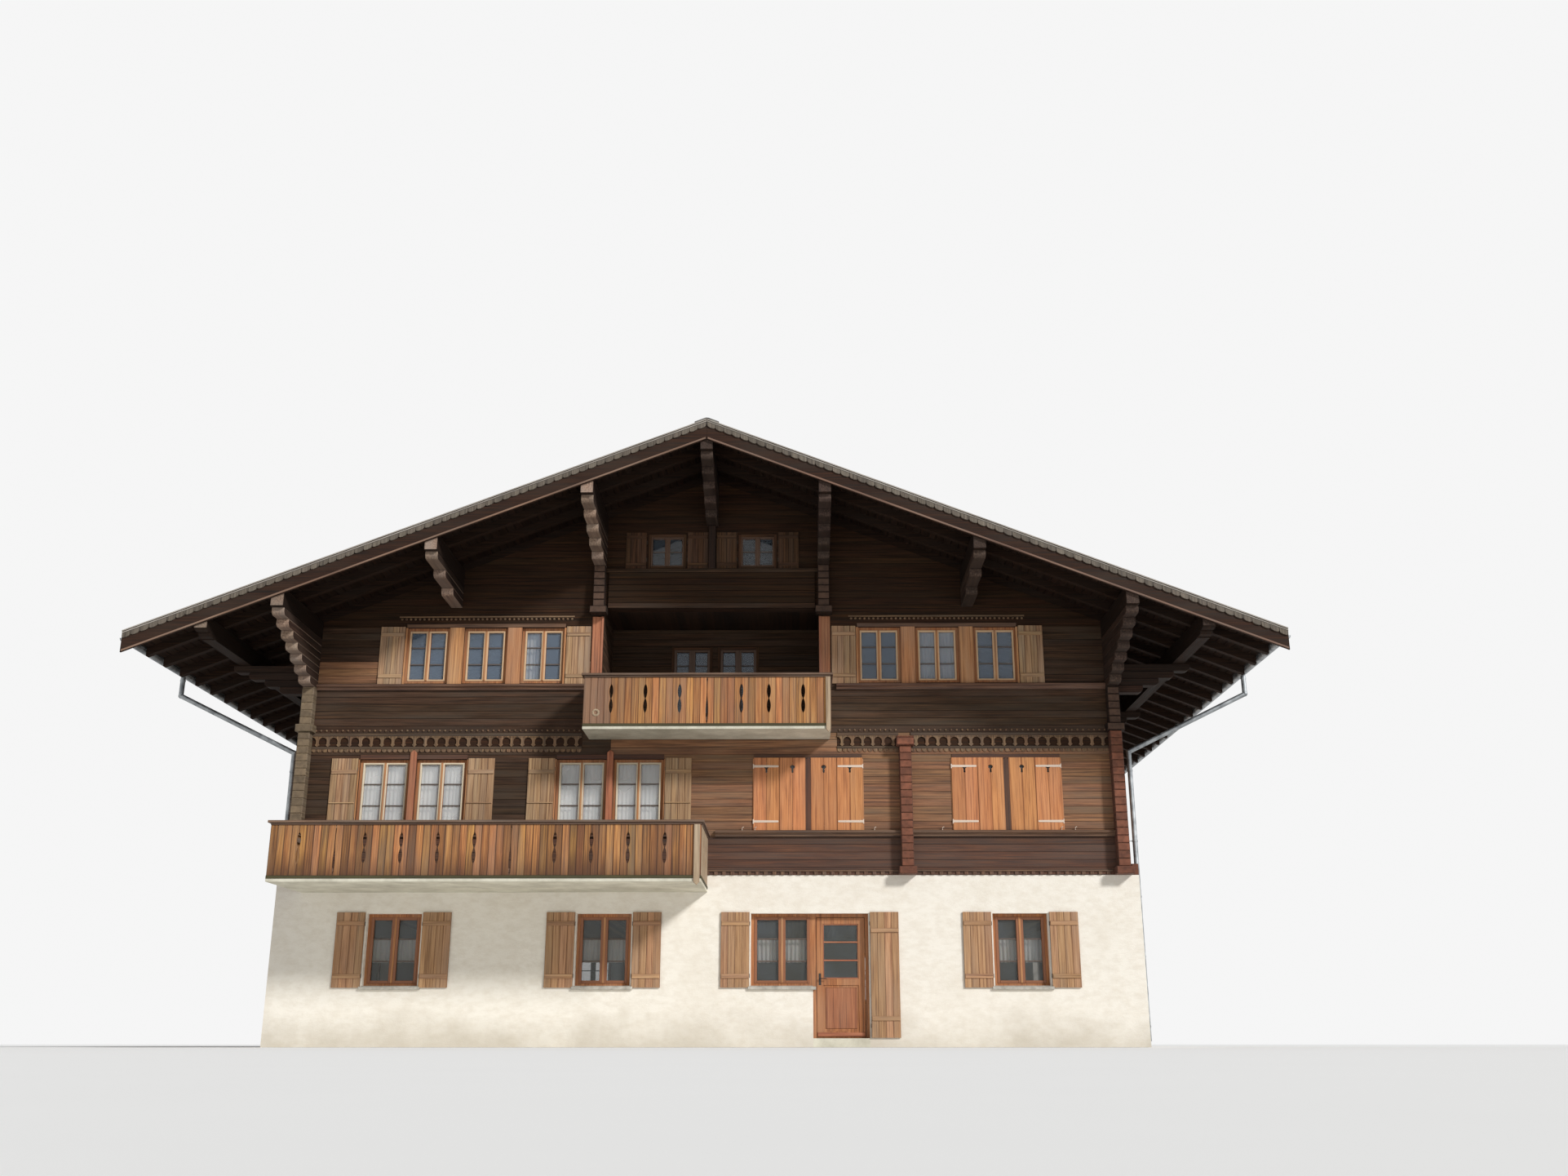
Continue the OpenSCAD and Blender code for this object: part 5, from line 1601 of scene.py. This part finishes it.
def shutter_hooks():
    """Pale hooks on the sill board that hold the closed shutters."""
    hooks = Piece()
    sill = first_row[0].z0 - SILL_DROP
    places = [group + reach for group in closed_groups for reach in (-1.2, 1.2)]
    for u in places + [closed_groups[0] - 0.97, closed_groups[1] + 0.95]:
        hooks.rod([at(FRONT, u, front_y + 0.05, sill), at(FRONT, u, front_y + 0.05, sill + 0.05),
                   at(FRONT, u + 0.03, front_y + 0.055, sill + 0.062)], 0.008)
    hooks.make("shutter_hooks", (PALE_IRON,), "zinc", rounded=True)


shutters()
shutter_hooks()


# Balconies

PALE_W = 0.1236
SIDE_PALE_W = 0.122
PALE_T = 0.026
# How far the boards' faces lie inside the sole board's, and the inner rails' half height and thickness
PALE_IN = 0.008
INNER_HALF = 0.04
INNER_T = 0.04
# How far the inner rails lie from the boards' foot and top
INNER_IN = 0.09
SOLE_H = 0.05
VASE_TOP = 0.12
VASE_H = 0.54
VASE_HALF = 0.034
VASE_NECK = 0.006
# The handrail's section, and the board it lies on
RAIL_HALF = 0.065
RAIL_T = 0.042
RAIL_IN = 0.02
BEARER_HALF = 0.035
# How far the corner boards hang below the others, and their thickness
POST_DROP = 0.16
POST_T = 0.035
# The upper one's width, and the lower one's width and distance from the end
POST_W = 0.09
WIDE_POST_W = 0.105
WIDE_POST_IN = 0.02
# Radius and height along the section of the carved ring
CARVED_RING = [(0.03, -0.002), (0.04, 0.009), (0.062, 0.009), (0.072, -0.002)]
# The joints between the upper balcony's boards that are cut, from its left end
UPPER_VASES = (4, 9, 14, 23, 27, 32)
UPPER_JOINTS = (18,)
UPPER_WORN = 4
# The same for the lower balcony, from its right end
LOWER_VASES = (5, 10, 15, 20, 31, 36, 41, 46, 55)
LOWER_JOINTS = (26, 50)


def vase(top):
    """Half of a slender double vase, cut where two boards meet."""
    steps = 16
    points = []
    for i in range(steps + 1):
        swell = abs(math.sin(2 * math.pi * i / steps)) ** 0.8
        depth = 0.0 if i in (0, steps) else VASE_NECK + (VASE_HALF - VASE_NECK) * swell
        points.append((top - VASE_TOP - VASE_H * (1 - i / steps), depth))
    return points


def wavy(z0, z1):
    """Half of the open joint between two panels of a balcony."""
    steps = 10
    return [(z0 + (z1 - z0) * (0.04 + 0.92 * i / steps), 0.012 + 0.01 * math.sin(math.pi * 2 * i / steps))
            for i in range(steps + 1)]


def boarded_side(piece, side, u0, u1, out, z0, z1, count, vases=(), joints=(), worn=0, finish=0):
    """Upright boards of one side of a balcony. The first worn ones have finish 1."""
    step = (u1 - u0) / count
    for i in range(count):
        edges = []
        for joint in (i, i + 1):
            edges.append(vase(z1) if joint in vases else wavy(z0, z1) if joint in joints else ())
        cut_board(piece, side, u0 + i * step + BOARD_GAP, u0 + (i + 1) * step - BOARD_GAP, z0, z1, out,
                  PALE_T, edges[0], edges[1], 1 if i < worn else finish)


def rounded_rail(middle, top):
    """A handrail's section: flat below, eased above."""
    low = top - RAIL_T
    right = [(RAIL_HALF - 0.004, low), (RAIL_HALF, low + 0.004), (RAIL_HALF, top - 0.014),
             (RAIL_HALF - 0.006, top - 0.005), (RAIL_HALF - 0.018, top)]
    left = [(-out, z) for out, z in right[::-1]]
    return [(middle + out, z) for out, z in left[3:] + right + left[:3]]


def side_edges(low, high):
    """The two side walls of a balcony, each with how far out it stands."""
    return (LEFT, -low.x), (RIGHT, high.x)


def pales_and_soles(boards, soles, low, high, vases, joints, side_vases, worn):
    """The upright boards on three sides, and the sole boards under them."""
    front = -low.y
    back = front - PALE_IN - PALE_T
    boarded_side(boards, FRONT, low.x, high.x, back, low.z, high.z, round((high.x - low.x) / PALE_W),
                 vases, joints, worn)
    for side, edge in side_edges(low, high):
        u0, u1 = forward(side, front_y, back - 0.002)
        boarded_side(boards, side, u0, u1, edge - PALE_T, low.z, high.z, round((u1 - u0) / SIDE_PALE_W),
                     side_vases, finish=2 if side == RIGHT else 0)
        soles.rail_on(side, u0, u1, low.z - SOLE_H, low.z, edge - PALE_T, edge + PALE_IN)
    soles.rail_on(FRONT, low.x, high.x, low.z - SOLE_H, low.z, back, front + PALE_IN)


def inner_rails(timbers, low, high):
    """The two rails behind the boards."""
    back = -low.y - PALE_IN - PALE_T
    for z in (low.z + INNER_IN, high.z - INNER_IN):
        timbers.rail_on(FRONT, low.x + 0.03, high.x - 0.03, z - INNER_HALF, z + INNER_HALF,
                        back - INNER_T, back, 0.004)
        for side, edge in side_edges(low, high):
            u0, u1 = forward(side, front_y, back - INNER_T - 0.006)
            timbers.rail_on(side, u0, u1, z - INNER_HALF, z + INNER_HALF, edge - PALE_T - INNER_T,
                            edge - PALE_T, 0.004)


def handrail(timbers, low, high):
    """The handrail, on a narrower board over the upright ones."""
    top = high.z + RAIL_H
    middle = -low.y - RAIL_IN
    timbers.run(FRONT, low.x - RAIL_PAST, high.x + RAIL_PAST, rounded_rail(middle, top))
    timbers.rail_on(FRONT, low.x, high.x, high.z, top - RAIL_T, middle - BEARER_HALF, middle + BEARER_HALF,
                    0.006)
    for side, edge in side_edges(low, high):
        u0, u1 = forward(side, front_y, middle - RAIL_HALF)
        out = edge - RAIL_IN
        timbers.run(side, u0, u1, rounded_rail(out, top))
        timbers.rail_on(side, u0, u1, high.z, top - RAIL_T, out - BEARER_HALF, out + BEARER_HALF, 0.006)


def corner_post(posts, low, high, far, near):
    """A pointed board at the right end, between two distances from it."""
    u0, u1 = high.x - far, high.x - near
    foot = low.z - POST_DROP
    outline = [(u0, foot + 0.05), ((u0 + u1) / 2, foot), (u1, foot + 0.05), (u1, high.z), (u0, high.z)]
    posts.slab(outline, on_face(FRONT, -low.y - 0.006), POST_T, 0.007)


def balconies():
    """Both balconies, and the carved ring on the upper one."""
    upper, lower, timbers, soles, posts = (Piece() for _ in range(5))
    low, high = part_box("upper_balcony_boards")
    pales_and_soles(upper, soles, low, high, UPPER_VASES, UPPER_JOINTS, (4,), UPPER_WORN)
    inner_rails(timbers, low, high)
    handrail(timbers, low, high)
    corner_post(posts, low, high, POST_W, 0.0)
    posts.turned(at(FRONT, low.x + 0.23, -low.y - PALE_IN, low.z + 0.2), at(FRONT, 0, 1, 0), CARVED_RING)
    low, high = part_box("lower_balcony_boards")
    count = round((high.x - low.x) / PALE_W)
    vases, joints = ([count - n for n in places] for places in (LOWER_VASES, LOWER_JOINTS))
    pales_and_soles(lower, soles, low, high, vases, joints, (5, 10), 0)
    inner_rails(timbers, low, high)
    handrail(timbers, low, high)
    corner_post(posts, low, high, WIDE_POST_W + WIDE_POST_IN, WIDE_POST_IN)
    upper.make("upper_balcony_pales", (BALCONY_WOOD, WORN_WOOD, BLEACHED_WOOD), "sun_boards",
               replaces=("upper_balcony_boards",))
    lower.make("lower_balcony_pales", (LOWER_BALCONY_WOOD, WORN_WOOD, BLEACHED_WOOD), "sun_boards",
               replaces=("lower_balcony_boards",))
    # The sole boards are dark: painted shadow of the boards on the slab
    soles.make("balcony_sole_boards", (SOLE_WOOD,), "sun_boards")
    posts.make("balcony_corner_boards", (BLEACHED_WOOD,), "frame_wood")
    timbers.make("balcony_rails", (RAIL_WOOD,), "frame_wood", replaces=("balcony_handrails",))


balconies()


# Net curtains

NET_FOLD = 0.075
NET_SWAY = 0.013
# How far the nets hang behind the window frames
NET_BACK = 0.05


def net_curtain(name, window, u0, u1, z0, z1):
    """A gathered net on a rod inside a window. Its folds open out below."""
    across = max(8, round((u1 - u0) / NET_FOLD) * 8)
    down = 10
    out = window.face - FRAME_T - NET_BACK
    phase = draw.uniform(0, 6.28)
    points, grain, faces = [], [], []
    for r in range(down + 1):
        share = r / down
        z = z1 - (z1 - z0) * share
        for c in range(across + 1):
            u = u0 + (u1 - u0) * c / across
            turn = 2 * math.pi * (u - u0) / NET_FOLD + phase + 0.5 * math.sin(3 * u + 2 * share)
            shift = NET_SWAY * (0.55 + 0.45 * share) * math.sin(turn)
            points.append(at(window.side, u, out + shift, z))
            grain.append((u, z, 0))
    for r in range(down):
        for c in range(across):
            k = r * (across + 1) + c
            faces.append([k, k + 1, k + across + 2, k + across + 1])
    cloth = Piece()
    cloth.solid(points, faces, grain)
    made = cloth.make(name, (NET,), "plaster", rounded=True)
    rod = Piece()
    rod.rod([at(window.side, u, out, z1 - 0.004) for u in (u0 - 0.02, u1 + 0.02)], 0.005)
    hung = rod.make(name + "_rod", (DARK_IRON,), "zinc", rounded=True)


def pane_ends(w):
    """Where the nets of a window start and end, just behind its frame."""
    return w.left + FRAME_B - 0.01, w.right - FRAME_B + 0.01


def curtains():
    """Nets where the front shows them: most of the first storey, two windows above, all below."""
    for k, w in enumerate(front_windows("first")[:4]):
        left, right = pane_ends(w)
        for hand, ends in enumerate(((left, w.u - 0.035), (w.u + 0.035, right))):
            net_curtain(f"net_first_{k}_{hand}", w, *ends, w.z0 + 0.09, w.z1 - 0.05)
    _, _, third, _, fifth, _ = front_windows("second")
    net_curtain("net_second_left", third, pane_ends(third)[0], third.u - 0.03, third.z0 + 0.09,
                third.z1 - 0.05)
    net_curtain("net_second_right", fifth, *pane_ends(fifth), fifth.z0 + 0.09, fifth.z1 - 0.05)
    for k, w in enumerate(front_windows("ground")):
        net_curtain(f"net_ground_{k}", w, *pane_ends(w), w.z0 + 0.42, w.z0 + 0.84)


curtains()


# Glazed door

# The panel's distance from the glass's edges, and from the glass and the leaf's foot
PANEL_IN = 0.04
PANEL_GAP = 0.15
# How far the glass's beads and bars lie in front of the leaf's middle, and the beads behind its face
BEAD_LIFT = 0.006
BEAD_W = 0.02
DOOR_BARS = 2
DOOR_BAR_HALF = 0.013
# The weather board at the leaf's foot, between two heights
WEATHER_ZS = (0.02, 0.09)
WEATHER_OUT = 0.022
# The handle's distance from the leaf's free edge and from its foot
HANDLE_IN = 0.055
HANDLE_UP = 1.0
PLATE_HALF = 0.02
PLATE_T = 0.004
# The lever's path: how far along the leaf, and how far off it
LEVER = ((0.0, 0.0), (0.0, 0.045), (0.02, 0.052), (0.12, 0.05))
LEVER_R = 0.008
# Half of a hinge pin's length and its radius, and how far the outer ones lie from the foot and top
DOOR_PIN = (0.045, 0.006)
DOOR_PIN_IN = 0.25


def door_handle(iron, u, z, out, way):
    """A plate on one face of the leaf, and a lever that turns along it."""
    low, high = z - 0.11, z + 0.09
    plate = [(u - PLATE_HALF, low), (u + PLATE_HALF, low), (u + PLATE_HALF, high), (u - PLATE_HALF, high)]
    iron.slab(plate, lambda s, t, d: at(FRONT, s, out + way * d, t), PLATE_T, 0.001)
    iron.rod([at(FRONT, u + along, out + way * lift, z) for along, lift in LEVER], LEVER_R)


def door_dress():
    """Panel, beads, bars, handles and hinge knuckles of the door leaf."""
    wood, iron = Piece(), Piece()
    low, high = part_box("door_leaf")
    glass_low, glass_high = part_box("door_glass")
    u0, u1 = glass_low.x, glass_high.x
    z0, z1 = glass_low.z, glass_high.z
    face, inner = -low.y, -high.y
    middle = (face + inner) / 2
    for out0, out1 in ((middle + 0.015, face - 0.008), (inner + 0.008, middle - 0.015)):
        wood.board_on(FRONT, u0 + PANEL_IN, u1 - PANEL_IN, low.z + PANEL_GAP, z0 - PANEL_GAP, out0, out1,
                      0.01)
    for i in range(1, DOOR_BARS + 1):
        z = z0 + (z1 - z0) * i / (DOOR_BARS + 1)
        wood.rail_on(FRONT, u0, u1, z - DOOR_BAR_HALF, z + DOOR_BAR_HALF, middle + BEAD_LIFT, face - 0.01,
                     0.004)
    wood.surround(FRONT, u0, u1, z0, z1, BEAD_W, middle + BEAD_LIFT, face - BEAD_LIFT, 0.005, back=0)
    foot, head = (low.z + rise for rise in WEATHER_ZS)
    wood.rail_on(FRONT, low.x + 0.01, high.x - 0.01, foot, head, face, face + WEATHER_OUT, 0.006)
    for out, way in ((face, 1), (inner, -1)):
        door_handle(iron, low.x + HANDLE_IN, low.z + HANDLE_UP, out, way)
    for z in (low.z + DOOR_PIN_IN, (low.z + high.z) / 2, high.z - DOOR_PIN_IN):
        hinge_pin(iron, FRONT, high.x, -high.y, z, *DOOR_PIN)
    wood.make("door_mouldings", (RED_WOOD,), "frame_wood", "door")
    iron.make("door_ironwork", (DARK_IRON,), "zinc", "door", rounded=True)


door_dress()


# Stage, light and camera

FLOOR_REACH = 300.0
FLOOR_Z = -0.002
AMBIENT = 0.33
SURROUND = 0.92
KEY = 2.9
TOWARD_KEY = Vector((1.1, -1.0, 0.88))


def studio_floor():
    """A pale floor under the house."""
    corners = [(FLOOR_REACH * x, FLOOR_REACH * y, FLOOR_Z) for x, y in ((-1, -1), (1, -1), (1, 1), (-1, 1))]
    mesh = bpy.data.meshes.new("studio_floor")
    mesh.from_pydata(corners, [], [(0, 1, 2, 3)])
    floor = bpy.data.objects.new("studio_floor", mesh)
    bpy.context.scene.collection.objects.link(floor)
    finish, add = new_finish("pale studio floor")
    clouds = add("TexNoise", {"Vector": add("TexCoord", out="Object"), "Scale": 2.0, "Detail": 3.0})
    colour = add("Mix", {0: clouds, 6: "#F6F6F5", 7: "#F8F8F7"}, out=2, data_type="RGBA")
    shader = add("BsdfPrincipled", {"Base Color": colour, "Roughness": 0.9})
    add("OutputMaterial", (shader,), out=None)
    mesh.materials.append(finish)


def studio_light():
    """Soft light from a surround that looks whiter than it shines, and a broad key light from the
    front, right and above."""
    world = bpy.data.worlds.new("studio")
    world.use_nodes = True
    world.node_tree.nodes.clear()
    add = partial(add_node, world.node_tree)
    path = add("LightPath", out=None)
    seen = add("Math", (path["Is Camera Ray"], path["Is Glossy Ray"]), operation="MAXIMUM")
    seen = add("Math", (seen, path["Is Transmission Ray"]), operation="MAXIMUM")
    strength = add("MapRange", (seen, 0.0, 1.0, AMBIENT, SURROUND))
    shine = add("Background", {"Color": "#FFFFFF", "Strength": strength})
    add("OutputWorld", (shine,), out=None)
    bpy.context.scene.world = world

    lamp = bpy.data.lights.new("key", "SUN")
    lamp.energy = KEY
    lamp.angle = math.radians(9)
    sun = bpy.data.objects.new("key", lamp)
    sun.rotation_euler = TOWARD_KEY.to_track_quat("Z", "Y").to_euler()
    bpy.context.scene.collection.objects.link(sun)


studio_floor()
studio_light()

# The photograph's view: a 33.4 mm lens on a 36 mm wide sensor, close to the ground and turned up
IMAGE_W = 1922
FOCAL_PX = 1783.2
EYE = (1.605, -32.5, 0.05)
TURNED_UP = 17.41
TURNED_LEFT = 0.49
lens = bpy.data.cameras.new("view")
lens.sensor_width = 36.0
lens.lens = FOCAL_PX / IMAGE_W * lens.sensor_width
lens.clip_end = 1000.0
camera = bpy.data.objects.new("view", lens)
camera.location = EYE
camera.rotation_euler = (math.radians(90 + TURNED_UP), 0.0, math.radians(TURNED_LEFT))
bpy.context.scene.collection.objects.link(camera)
bpy.context.scene.camera = camera
bpy.context.scene.view_settings.view_transform = "Standard"
